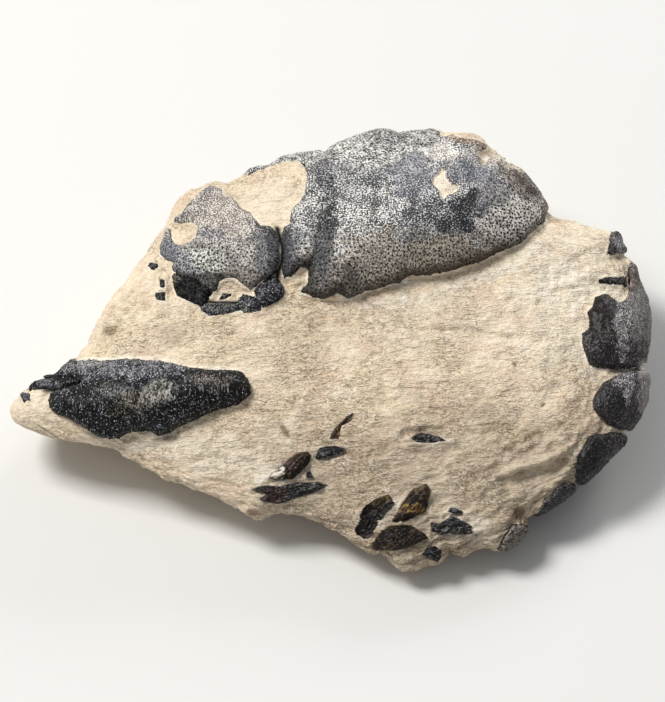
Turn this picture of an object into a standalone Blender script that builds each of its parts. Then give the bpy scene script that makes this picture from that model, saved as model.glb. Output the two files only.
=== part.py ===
"""A fossil lobster lying in a pale rock nodule, 130 mm long.

The nodule is a lens. Its rim is drawn on a slanted plane, in millimetres: u runs to the right
and v runs up the slope. The front face domes forward from that plane and the back bulges behind
it, down to a flat underside. Each piece of shell is an outline drawn on the same plane. Points
drawn beyond the rim fold round onto the back.
"""

import math

import bmesh
import bpy
import numpy as np
from mathutils import Vector
from mathutils.geometry import delaunay_2d_cdt

MM = 0.001

# The slanted plane
PLANE_TILT = math.radians(50.0)
LEAN = -0.40

# The lens
FRONT_RISE = 9.0
BACK_DEPTH = 28.5
BACK_DEPTH_SLOPE = 0.42
EDGE_ROUNDING = 3.0
UNDERSIDE_HEIGHT = -19.0
ORIGIN_SHIFT = (-0.32, -5.25, 19.0)

# Unevenness of the rock
FRONT_LUMP_SIZE = 15.0
FRONT_LUMP_HEIGHT = 0.7
FRONT_LUMP_SEED = 3
BACK_LUMP_SIZE = 17.0
BACK_LUMP_HEIGHT = 3.0
BACK_LUMP_SEED = 8

# Meshing
ROCK_SUBDIVISIONS = 7
ROCK_TRIANGLES_KEPT = 0.049
CUTTER_SIZE = 300.0
INNER_CLEARANCE = 0.55
FILL_INSIDE_ONLY = 1
SMALLEST = 1e-6

# Whole numbers that scramble the place of a lattice cell into a repeatable chance
SCRAMBLE_ACROSS = np.uint32(374761393)
SCRAMBLE_UP = np.uint32(668265263)
SCRAMBLE_LAST = np.uint32(1274126177)
SCRAMBLE_SHIFTS = (np.uint32(13), np.uint32(16))
SCRAMBLE_SEED = 97
SCRAMBLE_START = 13
LARGEST_WHOLE = 4294967295.0

# Each piece of shell lies in a shallow bed in the rock, clear of it all round
SHIELD_BED_DEPTH = 1.2
SCRAP_BED_DEPTH = 0.8
BED_MARGIN = 1.9
SHELL_LIFT = 0.20

# The slope from a shell's edge up to its full thickness, in thicknesses
SHELL_CROWN_WIDTH = 2.0

# Stretches of the rim, in degrees, that have shell folded round them
SHELL_ARCS = ((64.5, 123.0), (22.0, 46.5), (-42.0, 21.5))
SHELL_SET_BACK = 1.3
SET_BACK_RAMP = math.radians(3.0)

# The rim of the nodule, clockwise from the left tip
RIM = [
    (-64.2, -12.4), (-63.4, -9.8), (-61.8, -8.8), (-59.2, -7.2), (-57.0, -6.2), (-54.2, -6.0),
    (-52.4, -3.6), (-50.6, -2.0), (-48.4, 0.8), (-46.6, 5.6), (-44.6, 9.4), (-41.6, 12.8),
    (-38.8, 16.6), (-36.6, 19.4), (-35.2, 22.6), (-33.0, 25.0), (-31.6, 28.4), (-29.8, 30.8),
    (-27.8, 32.2), (-24.0, 33.8), (-21.6, 34.5), (-17.4, 36.2), (-13.0, 37.8), (-9.4, 39.2),
    (-6.0, 40.0), (-2.4, 40.4), (-0.4, 39.9), (0.6, 41.4), (3.0, 42.4), (6.4, 43.7),
    (10.6, 44.8), (12.2, 44.7), (14.0, 43.8), (17.6, 44.4), (20.4, 44.4), (22.4, 43.6),
    (25.2, 43.5), (28.0, 43.8), (30.8, 42.6), (32.8, 40.4), (35.6, 38.0), (39.0, 36.4),
    (41.6, 33.2), (43.8, 29.6), (44.6, 28.0), (47.2, 26.9), (52.0, 25.8), (55.2, 24.6),
    (57.2, 24.3), (58.4, 23.0), (60.0, 20.4), (60.0, 19.0), (61.4, 18.0), (62.4, 14.0),
    (64.0, 10.2), (64.6, 6.0), (64.4, 2.0), (63.6, -1.6), (63.8, -3.6), (64.2, -6.2),
    (63.8, -10.0), (62.2, -13.6), (60.2, -16.4), (59.4, -18.4), (56.6, -21.2), (54.0, -24.0),
    (50.6, -27.0), (47.2, -30.0), (43.6, -32.4), (40.0, -34.2), (37.2, -37.6), (34.2, -39.8),
    (30.8, -39.0), (28.8, -39.8), (26.8, -41.4), (24.0, -40.2), (22.6, -41.8), (20.0, -42.6),
    (16.4, -43.8), (14.2, -43.8), (11.6, -41.6), (10.0, -40.4), (8.2, -40.7), (6.0, -39.2),
    (2.0, -36.4), (-1.6, -34.2), (-5.4, -32.9), (-10.0, -32.4), (-12.2, -32.6), (-14.4, -33.5),
    (-16.4, -32.8), (-18.4, -31.4), (-23.0, -29.2), (-28.0, -27.4), (-33.0, -25.4),
    (-37.0, -23.4), (-40.4, -21.2), (-42.0, -20.1), (-45.0, -19.2), (-49.6, -18.4),
    (-55.0, -17.7), (-58.0, -16.8), (-61.0, -15.6), (-63.6, -14.2),
]

# The shield of the back, in two pieces
CARAPACE_FRONT = [
    (-23.4, 32.8), (-21.8, 32.0), (-21.2, 30.6), (-19.4, 30.2), (-18.2, 28.4), (-16.2, 27.4),
    (-15.0, 26.0), (-13.6, 24.8), (-12.0, 24.6), (-10.6, 23.4), (-10.2, 21.6), (-10.1, 19.0),
    (-10.4, 16.8), (-11.8, 15.4), (-13.6, 13.8), (-16.0, 12.0), (-17.4, 13.0), (-18.8, 14.2),
    (-20.4, 14.4), (-22.0, 13.6), (-22.6, 12.2), (-23.8, 11.4), (-25.2, 12.4), (-26.8, 14.2),
    (-28.8, 14.2), (-30.4, 15.0), (-31.6, 16.4), (-31.2, 17.4), (-32.6, 17.8), (-33.8, 19.0),
    (-34.0, 20.4), (-33.4, 22.2), (-33.0, 23.6), (-32.0, 24.4), (-31.8, 22.6), (-31.0, 21.2),
    (-29.6, 20.8), (-28.0, 21.4), (-26.8, 22.4), (-26.4, 24.2), (-26.8, 25.0), (-28.4, 25.4),
    (-31.2, 25.4), (-31.0, 26.2), (-29.2, 27.6), (-28.0, 29.4), (-26.2, 31.2), (-24.8, 32.4),
]
CARAPACE_REAR = [
    (-18.2, 35.0), (-16.6, 35.0), (-15.2, 35.6), (-13.6, 36.2), (-11.6, 37.2), (-9.2, 37.4),
    (-6.6, 37.6), (-5.0, 36.8), (-4.6, 35.2), (-4.8, 32.8), (-5.2, 30.8), (-6.0, 29.4),
    (-7.4, 28.2), (-7.8, 26.6), (-8.0, 25.2), (-9.2, 24.4), (-9.7, 23.2), (-9.7, 20.8),
    (-9.7, 18.4), (-9.6, 16.0), (-9.2, 14.4), (-7.6, 14.8), (-6.6, 15.8), (-5.8, 16.8),
    (-4.4, 16.4), (-4.2, 14.6), (-4.4, 13.0), (-5.6, 12.2), (-5.8, 11.4), (-4.4, 11.2),
    (-3.4, 10.6), (-2.0, 10.3), (-0.4, 10.8), (1.4, 11.5), (2.6, 10.8), (3.6, 10.4),
    (5.2, 11.0), (6.8, 11.9), (10.0, 12.6), (12.0, 13.5), (14.0, 13.9), (15.8, 15.0),
    (19.0, 15.2), (22.0, 15.6), (24.4, 16.2), (27.2, 17.0), (30.0, 17.9), (34.0, 19.8),
    (36.4, 20.7), (38.2, 21.6), (39.8, 23.2), (41.4, 24.6), (43.0, 25.6), (43.4, 27.4),
    (43.4, 29.2), (42.9, 30.9), (41.4, 33.4), (39.2, 36.2), (36.4, 37.9), (35.0, 38.0),
    (33.2, 38.5), (32.0, 38.3), (31.3, 37.2), (30.7, 36.7), (30.1, 37.2), (30.0, 38.4),
    (29.2, 39.3), (29.7, 39.9), (31.4, 40.2), (31.2, 40.8), (30.0, 41.5), (28.2, 42.0),
    (26.4, 42.0), (25.4, 42.7), (24.0, 42.9), (23.0, 42.2), (22.0, 42.8), (21.8, 43.8),
    (21.9, 46.4), (19.0, 47.2), (15.4, 47.4), (12.6, 48.3), (9.8, 48.9), (7.2, 48.1),
    (4.4, 46.8), (0.2, 45.8), (-5.4, 42.6), (-11.0, 41.8), (-15.6, 39.4), (-19.4, 37.6),
]

MOUTHPARTS = [
    (-30.5, 12.0), (-30.1, 13.1), (-28.0, 13.3), (-26.3, 11.9), (-25.0, 10.9), (-24.8, 10.2),
    (-25.0, 9.7), (-25.9, 9.2), (-27.2, 9.4), (-29.1, 9.9), (-30.3, 10.5),
]
ANTENNA_BLOCK = [
    (-11.1, 14.9), (-10.0, 14.0), (-9.3, 12.0), (-9.3, 10.9), (-10.3, 9.8), (-11.9, 9.0),
    (-13.2, 8.4), (-14.3, 10.6), (-14.4, 12.0), (-13.6, 13.2), (-12.3, 14.4),
]
ANTENNA_KNOB = [
    (-17.5, 10.3), (-16.5, 10.3), (-14.6, 9.3), (-13.8, 8.1), (-14.8, 7.5), (-17.0, 7.7),
    (-17.5, 8.7),
]
ANTENNA_BAND = [
    (-24.1, 9.1), (-21.8, 9.1), (-19.7, 9.0), (-18.0, 9.2), (-18.0, 7.9), (-20.2, 7.4),
    (-22.4, 6.7), (-24.0, 6.7), (-25.3, 7.7), (-25.7, 8.5),
]
ANTENNA_CHIP = [
    (-22.1, 10.1), (-21.3, 11.4), (-19.4, 11.3), (-19.7, 10.5), (-20.8, 10.2),
]
CHEEK_OVAL = [
    (-36.6, 16.7), (-35.6, 17.5), (-34.3, 17.0), (-34.3, 16.3), (-35.4, 15.8),
]
CHEEK_BAR = [
    (-34.1, 14.2), (-32.9, 14.0), (-32.9, 12.0), (-34.1, 12.1),
]
CHEEK_PLATE = [
    (-35.0, 11.4), (-32.9, 11.4), (-32.9, 9.6), (-34.8, 9.8),
]
CLAW = [
    (-50.8, -2.6), (-48.0, -2.3), (-43.8, -2.3), (-40.4, -2.0), (-36.9, -2.2), (-33.1, -2.5),
    (-29.7, -3.4), (-26.2, -3.9), (-22.7, -4.2), (-19.6, -4.2), (-17.5, -4.7), (-16.5, -5.8),
    (-16.0, -7.3), (-15.8, -8.7), (-17.2, -9.8), (-18.2, -10.6), (-21.0, -11.3), (-24.5, -12.5),
    (-26.9, -13.9), (-30.0, -15.1), (-31.7, -16.3), (-34.2, -16.9), (-35.5, -16.0), (-38.3, -16.0),
    (-40.4, -16.3), (-42.1, -17.4), (-44.5, -17.4), (-46.3, -16.9), (-48.0, -15.7), (-50.4, -14.3),
    (-52.8, -13.2), (-54.9, -12.4), (-55.6, -11.5), (-56.0, -10.1), (-55.6, -8.9), (-54.2, -8.3),
    (-52.2, -7.5), (-49.4, -7.0), (-50.0, -5.0),
]
CLAW_FINGER = [
    (-58.4, -8.4), (-56.0, -7.7), (-53.6, -6.9), (-52.0, -5.2), (-51.0, -4.0), (-50.4, -5.4),
    (-50.2, -6.6), (-52.2, -6.9), (-54.2, -7.7), (-56.4, -8.5), (-58.2, -9.0),
]
CLAW_TIP = [
    (-61.8, -8.9), (-59.8, -8.8), (-59.8, -10.1), (-61.2, -10.3),
]
EDGE_PIECE = [
    (56.6, 23.4), (57.6, 23.0), (60.8, 21.0), (61.2, 19.4), (57.8, 19.5), (56.6, 19.1),
    (55.6, 19.2), (56.0, 22.2),
]
EDGE_BAR = [
    (53.7, 13.9), (55.6, 14.4), (57.8, 14.4), (59.1, 14.7), (59.3, 12.6), (57.8, 12.9),
    (55.6, 13.1), (53.9, 13.3),
]
ABDOMEN_1 = [
    (60.0, 17.4), (61.2, 17.8), (64.0, 17.6), (68.4, 15.0), (72.0, 10.0), (72.8, 4.0),
    (71.6, -0.4), (67.2, -2.0), (63.4, -2.2), (62.2, -3.2), (61.5, -3.8), (59.1, -3.8),
    (56.6, -3.8), (54.2, -3.6), (52.0, -3.0), (51.3, -1.5), (50.6, 1.0), (50.6, 3.2), (52.0, 3.9),
    (52.0, 6.1), (51.5, 7.3), (52.7, 8.5), (53.2, 10.5), (55.2, 11.1), (56.4, 10.2), (57.4, 9.4),
    (58.8, 9.6), (59.8, 10.8), (60.1, 12.4), (59.8, 15.3),
]
ABDOMEN_2 = [
    (58.3, -4.7), (60.2, -4.4), (62.3, -4.4), (64.0, -3.4), (68.4, -3.2), (72.4, -4.4),
    (73.2, -8.4), (71.6, -13.6), (68.4, -17.6), (64.0, -17.6), (60.4, -16.1), (58.8, -16.0),
    (56.9, -15.6), (55.3, -14.8), (53.7, -13.3), (52.6, -11.6), (52.5, -10.2), (53.4, -8.3),
    (54.5, -6.8), (56.4, -5.8),
]
ABDOMEN_3 = [
    (54.2, -16.9), (55.8, -16.5), (58.5, -16.6), (60.2, -16.9), (64.0, -18.8), (66.8, -21.2),
    (64.6, -25.0), (59.6, -28.0), (55.2, -31.2), (52.8, -29.8), (50.2, -27.2), (49.0, -26.5),
    (49.0, -23.7), (49.5, -21.0), (50.9, -18.8), (51.4, -17.7), (52.6, -16.9),
]
ABDOMEN_4 = [
    (48.6, -26.5), (46.8, -26.5), (45.2, -27.2), (44.2, -28.9), (42.6, -30.0), (41.5, -31.8),
    (40.2, -33.5), (42.6, -35.8), (45.4, -38.4), (50.4, -34.8), (53.2, -32.2), (51.0, -29.4),
]
TAIL_END = [
    (36.2, -34.8), (38.1, -34.8), (39.6, -34.8), (42.0, -37.4), (44.4, -40.0), (41.2, -43.2),
    (37.6, -43.2), (34.6, -39.6), (33.2, -39.6), (34.0, -38.2), (35.1, -36.3),
]
LEG_LEFT_UPPER = [
    (-12.3, -25.7), (-11.6, -24.7), (-9.8, -23.3), (-8.5, -22.0), (-7.1, -20.9), (-5.6, -20.4),
    (-4.2, -20.4), (-3.8, -21.1), (-4.0, -22.2), (-4.9, -23.5), (-6.2, -24.7), (-7.4, -25.7),
    (-10.0, -25.8),
]
LEG_LEFT_LOWER = [
    (-15.9, -27.8), (-14.1, -27.2), (-11.9, -27.0), (-9.9, -27.2), (-7.4, -26.5), (-5.6, -26.3),
    (-2.1, -26.4), (-0.3, -27.0), (-2.1, -27.9), (-4.7, -28.8), (-7.4, -29.6), (-9.2, -30.3),
    (-11.0, -30.5), (-13.2, -30.1), (-14.1, -29.6), (-12.5, -28.7),
]
LEG_LEFT_BLOCK = [
    (-2.9, -21.5), (-2.5, -20.2), (-2.1, -19.7), (-0.6, -19.2), (1.5, -19.2), (3.0, -19.7),
    (3.0, -20.4), (1.5, -21.1), (-0.3, -21.7), (-2.1, -21.9),
]
LEG_LEFT_SLIVER = [
    (-0.1, -17.7), (0.3, -16.8), (1.0, -15.6), (2.1, -14.5), (3.2, -13.4), (4.6, -12.5),
    (4.1, -13.8), (2.4, -15.2), (2.1, -16.3), (1.8, -17.7),
]
LEG_LEFT_CHIP = [
    (-4.7, -24.2), (-4.2, -23.8), (-3.2, -25.4), (-4.7, -25.5),
]
LEG_SLIVER = [
    (16.0, -18.0), (18.2, -17.1), (21.4, -17.4), (23.6, -18.3), (20.4, -18.7), (18.0, -18.7),
]
LEG_LOW_LEFT = [
    (12.7, -30.4), (12.4, -31.4), (11.2, -32.4), (10.2, -33.6), (9.6, -35.3), (8.5, -36.7),
    (7.5, -37.5), (6.3, -37.5), (5.3, -36.7), (4.9, -35.7), (5.7, -34.3), (6.0, -32.4),
    (7.1, -31.0), (9.2, -29.6), (11.6, -28.8),
]
LEG_LOW_RIGHT = [
    (19.2, -26.7), (19.8, -27.5), (19.8, -29.1), (19.4, -30.8), (19.0, -32.0), (17.4, -32.8),
    (16.2, -33.6), (14.3, -34.2), (12.3, -34.1), (13.3, -32.4), (14.3, -31.0), (15.3, -29.5),
    (16.6, -27.7), (18.0, -27.1),
]
LEG_LOW_BASE = [
    (8.1, -38.9), (9.1, -37.6), (10.4, -36.0), (11.8, -35.0), (13.5, -34.8), (16.2, -35.0),
    (17.6, -35.8), (19.0, -36.7), (19.6, -37.4), (18.4, -37.9), (16.8, -38.8), (15.1, -39.4),
    (12.3, -39.8), (9.4, -39.6),
]
LEG_LOW_JOINT = [
    (20.0, -34.4), (22.1, -34.4), (22.9, -33.8), (23.9, -33.1), (25.2, -33.4), (26.6, -34.1),
    (28.1, -34.9), (28.3, -36.5), (25.8, -36.8), (23.7, -36.3), (22.5, -36.7), (20.2, -36.0),
]
LEG_LOW_CHIP = [
    (23.3, -32.2), (24.2, -31.3), (25.4, -31.6), (26.5, -32.2), (25.8, -32.8), (25.0, -32.6),
]
LEG_LOW_FOOT = [
    (19.4, -39.0), (20.9, -38.9), (21.9, -39.8), (22.0, -41.0), (21.1, -41.8), (20.1, -41.4),
    (18.2, -40.6), (19.0, -39.8),
]
NECK_GROOVE = [
    (-0.6, 40.8), (0.6, 37.2), (0.8, 35.4), (0.2, 32.7), (0.5, 30.5), (-0.3, 28.4), (-1.9, 25.7),
    (-2.5, 23.0), (-2.7, 19.8), (-3.3, 17.1), (-4.6, 14.8),
]
COLLAR_RIDGE = [
    (-12.8, 24.4), (-11.4, 23.2), (-10.9, 20.8), (-11.0, 18.4), (-12.2, 16.0),
]
BODY_MOULD = [
    (-34.8, 18.4), (-33.0, 15.6), (-30.0, 13.6), (-26.0, 12.0), (-23.0, 10.6), (-19.0, 11.6),
    (-15.6, 11.6), (-12.0, 13.6), (-8.8, 13.2), (-6.0, 10.8), (-1.6, 9.8), (2.6, 9.8), (6.8, 11.2),
    (11.6, 12.8), (15.8, 14.2), (22.0, 14.8), (27.2, 16.0), (33.4, 18.6), (38.6, 21.2),
    (43.0, 24.8), (45.2, 28.4), (56.0, 34.0), (46.0, 58.0), (20.0, 72.0), (-6.0, 66.0),
    (-30.0, 54.0), (-44.0, 36.0), (-36.8, 22.8),
]
REAR_MOULD = [
    (-2.4, 10.0), (2.6, 9.8), (6.8, 11.2), (11.6, 12.8), (15.8, 14.2), (22.0, 14.8), (27.2, 16.0),
    (33.4, 18.6), (38.6, 21.2), (43.0, 24.8), (45.2, 28.4), (56.0, 34.0), (46.0, 58.0),
    (20.0, 72.0), (2.0, 58.0), (0.0, 40.0), (0.8, 35.0), (0.4, 30.6), (-2.0, 25.6), (-2.8, 19.8),
]
LEDGE_FRONT = [
    (35.9, -24.0), (38.0, -23.2), (40.8, -22.0), (44.6, -21.8), (45.8, -20.2), (47.2, -19.4),
    (48.8, -20.0),
]
LEDGE_SMALL = [
    (44.0, -17.8), (46.2, -17.9), (48.4, -18.8),
]
FACE_STEP = [
    (6.8, 10.8), (8.0, 9.0), (11.2, 7.6), (14.4, 6.2), (16.8, 4.6), (20.6, 4.0), (25.4, 3.8),
    (29.2, 3.2), (36.4, 2.4),
]

# Swellings that the shell lies on: outline, height, width of the slope
SWELLINGS = [
    (BODY_MOULD, 4.5, 12.0),
    (REAR_MOULD, 5.0, 14.0),
    (CLAW, 4.2, 7.0),
    (ABDOMEN_1, 4.2, 6.5),
    (ABDOMEN_2, 3.8, 5.5),
    (ABDOMEN_3, 3.2, 4.5),
    (ABDOMEN_4, 1.6, 3.0),
]

# Ridges and, with a negative height, grooves: line, height, half width
CREASES = [
    (NECK_GROOVE, -1.6, 1.7),
    (COLLAR_RIDGE, 1.0, 1.2),
    (LEDGE_FRONT, 1.0, 1.3),
    (LEDGE_SMALL, 0.6, 0.9),
    (FACE_STEP, -0.35, 0.9),
]

# Shell pieces: name, outline, thickness in the middle and at the edge, mesh size, material
SHIELDS = [
    ("carapace_front", CARAPACE_FRONT, 1.3, 0.9, 2.6, "shield"),
    ("carapace_rear", CARAPACE_REAR, 1.3, 0.9, 4.4, "shield"),
    ("claw", CLAW, 1.6, 0.8, 2.6, "claw"),
    ("claw_finger", CLAW_FINGER, 1.4, 0.7, 0.9, "claw"),
    ("abdomen_1", ABDOMEN_1, 1.4, 0.9, 4.2, "tail"),
    ("abdomen_2", ABDOMEN_2, 1.4, 0.9, 4.0, "tail"),
    ("abdomen_3", ABDOMEN_3, 1.4, 0.9, 4.0, "tail"),
    ("abdomen_4", ABDOMEN_4, 1.2, 0.8, 2.8, "tail"),
    ("tail_end", TAIL_END, 1.1, 0.7, 2.6, "tail"),
]
SCRAPS = [
    ("mouthparts", MOUTHPARTS, 1.9, 0.6, 1.6, "claw"),
    ("antenna_block", ANTENNA_BLOCK, 2.4, 1.0, 1.2, "claw"),
    ("antenna_knob", ANTENNA_KNOB, 2.0, 0.8, 1.0, "claw"),
    ("antenna_band", ANTENNA_BAND, 1.7, 0.6, 1.1, "claw"),
    ("antenna_chip", ANTENNA_CHIP, 1.0, 0.5, 0.8, "claw"),
    ("cheek_oval", CHEEK_OVAL, 0.9, 0.4, 1.4, "claw"),
    ("cheek_bar", CHEEK_BAR, 0.9, 0.4, 1.4, "claw"),
    ("cheek_plate", CHEEK_PLATE, 1.0, 0.5, 1.4, "claw"),
    ("claw_tip", CLAW_TIP, 1.0, 0.5, 1.6, "claw"),
    ("edge_piece", EDGE_PIECE, 1.2, 0.6, 1.3, "tail"),
    ("edge_bar", EDGE_BAR, 0.9, 0.5, 2.0, "tail"),
    ("leg_left_upper", LEG_LEFT_UPPER, 2.0, 0.6, 1.6, "leg"),
    ("leg_left_lower", LEG_LEFT_LOWER, 1.6, 0.5, 2.0, "leg"),
    ("leg_left_block", LEG_LEFT_BLOCK, 1.4, 0.5, 1.0, "leg"),
    ("leg_left_sliver", LEG_LEFT_SLIVER, 0.8, 0.4, 0.9, "leg"),
    ("leg_left_chip", LEG_LEFT_CHIP, 0.7, 0.4, 0.8, "leg"),
    ("leg_sliver", LEG_SLIVER, 0.8, 0.4, 0.9, "leg"),
    ("leg_low_left", LEG_LOW_LEFT, 2.2, 0.6, 1.8, "leg"),
    ("leg_low_right", LEG_LOW_RIGHT, 2.6, 0.7, 1.6, "leg"),
    ("leg_low_base", LEG_LOW_BASE, 2.0, 0.6, 2.2, "leg"),
    ("leg_low_joint", LEG_LOW_JOINT, 2.0, 0.7, 1.8, "leg"),
    ("leg_low_chip", LEG_LOW_CHIP, 1.4, 0.6, 0.9, "leg"),
    ("leg_low_foot", LEG_LOW_FOOT, 1.4, 0.6, 1.8, "leg"),
]

MATERIALS = {
    "rock": ((0.60, 0.47, 0.34, 1.0), 0.95),
    "shield": ((0.16, 0.15, 0.14, 1.0), 0.60),
    "claw": ((0.030, 0.030, 0.034, 1.0), 0.50),
    "tail": ((0.040, 0.038, 0.042, 1.0), 0.45),
    "leg": ((0.030, 0.018, 0.012, 1.0), 0.40),
}


def clear_scene():
    for obj in list(bpy.data.objects):
        bpy.data.objects.remove(obj, do_unlink=True)


def new_collection(name):
    collection = bpy.data.collections.new(name)
    bpy.context.scene.collection.children.link(collection)
    return collection


def make_material(name):
    colour, roughness = MATERIALS[name]
    material = bpy.data.materials.new(name)
    material.use_nodes = True
    shader = material.node_tree.nodes["Principled BSDF"]
    shader.inputs["Base Color"].default_value = colour
    shader.inputs["Roughness"].default_value = roughness
    shader.inputs["Metallic"].default_value = 0.0
    material.diffuse_color = colour
    return material


def smooth_step(x):
    x = np.clip(x, 0.0, 1.0)
    return x * x * (3.0 - 2.0 * x)


def set_back(angle):
    """How far the rock's rim stays inside the drawn rim, to leave room for shell round the edge."""
    depth = np.zeros_like(angle)
    for start, end in SHELL_ARCS:
        inside = np.minimum(angle - math.radians(start), math.radians(end) - angle)
        depth = np.maximum(depth, smooth_step(inside / SET_BACK_RAMP + 0.5))
    return SHELL_SET_BACK * depth


def rim_radius(angle):
    """Distance from the centre of the lens to its rim, in the direction of each angle."""
    points = np.array(RIM)
    angles = np.arctan2(points[:, 1], points[:, 0])
    order = np.argsort(angles)
    radii = np.hypot(points[:, 0], points[:, 1])
    return np.interp(angle, angles[order], radii[order], period=2.0 * math.pi) - set_back(angle)


def edge_distance(points, line, closed):
    """Distance of each point to a line of straight pieces."""
    line = np.array(line)
    starts = line if closed else line[:-1]
    ends = np.roll(line, -1, axis=0) if closed else line[1:]
    nearest = np.full(len(points), np.inf)
    for start, end in zip(starts, ends):
        run = end - start
        along = np.clip((points - start) @ run / (run @ run), 0.0, 1.0)
        off = points - start - along[:, None] * run
        nearest = np.minimum(nearest, np.hypot(off[:, 0], off[:, 1]))
    return nearest


def is_inside(points, outline):
    inside = np.zeros(len(points), bool)
    outline = np.array(outline)
    for (x0, y0), (x1, y1) in zip(outline, np.roll(outline, -1, axis=0)):
        crosses = (y0 > points[:, 1]) != (y1 > points[:, 1])
        reach = x0 + (points[:, 1] - y0) * (x1 - x0) / (y1 - y0 + SMALLEST**2)
        inside ^= crosses & (points[:, 0] < reach)
    return inside


def swelling(points, outline, height, slope_width):
    """A cushion over an outline: it rises from the edge and levels off in the middle."""
    depth = np.where(is_inside(points, outline), edge_distance(points, outline, True), 0.0)
    rise = np.clip(depth / slope_width, 0.0, 1.0)
    return height * rise * (2.0 - rise)


def crease(points, line, height, half_width):
    return height * np.exp(-((edge_distance(points, line, False) / half_width) ** 2))


def lattice_value(cells, seed):
    """A repeatable number from 0 to 1 for each cell of a 2D lattice."""
    x = cells[:, 0].astype(np.uint32)
    y = cells[:, 1].astype(np.uint32)
    first, second = SCRAMBLE_SHIFTS
    start = np.uint32(seed * SCRAMBLE_SEED + SCRAMBLE_START)
    mixed = x * SCRAMBLE_ACROSS + y * SCRAMBLE_UP + start
    mixed = (mixed ^ (mixed >> first)) * SCRAMBLE_LAST
    return (mixed ^ (mixed >> second)).astype(np.float64) / LARGEST_WHOLE


def lumps(points, size, seed):
    """Smooth unevenness from -1 to 1."""
    scaled = points / size
    cells = np.floor(scaled).astype(np.int64)
    part = smooth_step(scaled - cells)
    total = np.zeros(len(points))
    for step in ((0, 0), (1, 0), (0, 1), (1, 1)):
        weight = np.abs(1 - step[0] - part[:, 0]) * np.abs(1 - step[1] - part[:, 1])
        total += weight * lattice_value(cells + np.array(step), seed)
    return 2.0 * total - 1.0


def front_rise(points):
    """Height of the front face over the slanted plane, before the rim closes it."""
    rise = FRONT_RISE + FRONT_LUMP_HEIGHT * lumps(points, FRONT_LUMP_SIZE, FRONT_LUMP_SEED)
    for outline, height, slope_width in SWELLINGS:
        rise = rise + swelling(points, outline, height, slope_width)
    for line, height, half_width in CREASES:
        rise = rise + crease(points, line, height, half_width)
    return rise


def back_depth(points):
    """Depth of the back behind the slanted plane, before the rim closes it."""
    uneven = BACK_LUMP_HEIGHT * lumps(points, BACK_LUMP_SIZE, BACK_LUMP_SEED)
    return BACK_DEPTH + BACK_DEPTH_SLOPE * points[:, 1] + uneven


def unroll(points):
    """Points of the drawing, beyond the rim too, to a plane where the lens's skin lies flat."""
    points = np.array(points, float)
    radius = np.maximum(np.hypot(points[:, 0], points[:, 1]), SMALLEST)
    fraction = radius / rim_radius(np.arctan2(points[:, 1], points[:, 0]))
    front = np.arcsin(np.minimum(fraction, 1.0))
    back = math.pi - np.arcsin(np.clip(2.0 - fraction, 0.0, 1.0))
    turn = np.where(fraction <= 1.0, front, back)
    return points * (turn / fraction)[:, None]


def wrap(flat):
    """Points of the unrolled skin to their places on the lens, in millimetres."""
    radius = np.maximum(np.hypot(flat[:, 0], flat[:, 1]), SMALLEST)
    direction = flat / radius[:, None]
    rim = rim_radius(np.arctan2(flat[:, 1], flat[:, 0]))
    turn = np.minimum(radius / rim, math.pi)
    fraction = np.sin(turn)
    on_front = turn <= 0.5 * math.pi
    drawn = direction * (rim * np.where(on_front, fraction, 2.0 - fraction))[:, None]
    seen = direction * (rim * fraction)[:, None]
    closing = np.sqrt(np.maximum(1.0 - fraction**EDGE_ROUNDING, 0.0))
    rise = np.where(on_front, front_rise(drawn), -back_depth(seen))
    forward = LEAN * seen[:, 1] + rise * closing
    y = seen[:, 1] * math.sin(PLANE_TILT) - forward * math.cos(PLANE_TILT)
    z = seen[:, 1] * math.cos(PLANE_TILT) + forward * math.sin(PLANE_TILT)
    return np.stack([seen[:, 0], y, z], axis=1) + np.array(ORIGIN_SHIFT)


def bed_depth(flat):
    """How deep the rock's surface is lowered at each point of the unrolled skin."""
    deepest = np.zeros(len(flat))
    beds = [(piece, SHIELD_BED_DEPTH) for piece in SHIELDS]
    beds += [(piece, SCRAP_BED_DEPTH) for piece in SCRAPS]
    for (_, outline, _, _, spacing, _), full_depth in beds:
        border = unroll(resample(outline, spacing))
        low = border.min(axis=0) - BED_MARGIN
        high = border.max(axis=0) + BED_MARGIN
        near = np.all((flat > low) & (flat < high), axis=1)
        points = flat[near]
        distance = edge_distance(points, border, True)
        signed = np.where(is_inside(points, border), distance, -distance)
        depth = full_depth * smooth_step(signed / BED_MARGIN + 1.0)
        deepest[near] = np.maximum(deepest[near], depth)
    return deepest


def put_object(name, mesh, material, collection):
    mesh.materials.append(material)
    obj = bpy.data.objects.new(name, mesh)
    collection.objects.link(obj)
    return obj


def make_underside_cutter(collection):
    """A block whose top is the level of the flat underside."""
    level = UNDERSIDE_HEIGHT + ORIGIN_SHIFT[2]
    cutter_mesh = bpy.data.meshes.new("underside_cutter")
    bm = bmesh.new()
    bmesh.ops.create_cube(bm, size=CUTTER_SIZE * MM)
    bmesh.ops.translate(bm, verts=bm.verts, vec=(0.0, 0.0, (level - 0.5 * CUTTER_SIZE) * MM))
    bm.to_mesh(cutter_mesh)
    bm.free()
    cutter = bpy.data.objects.new("underside_cutter", cutter_mesh)
    cutter.hide_render = True
    cutter.display_type = "WIRE"
    collection.objects.link(cutter)
    return cutter


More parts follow.
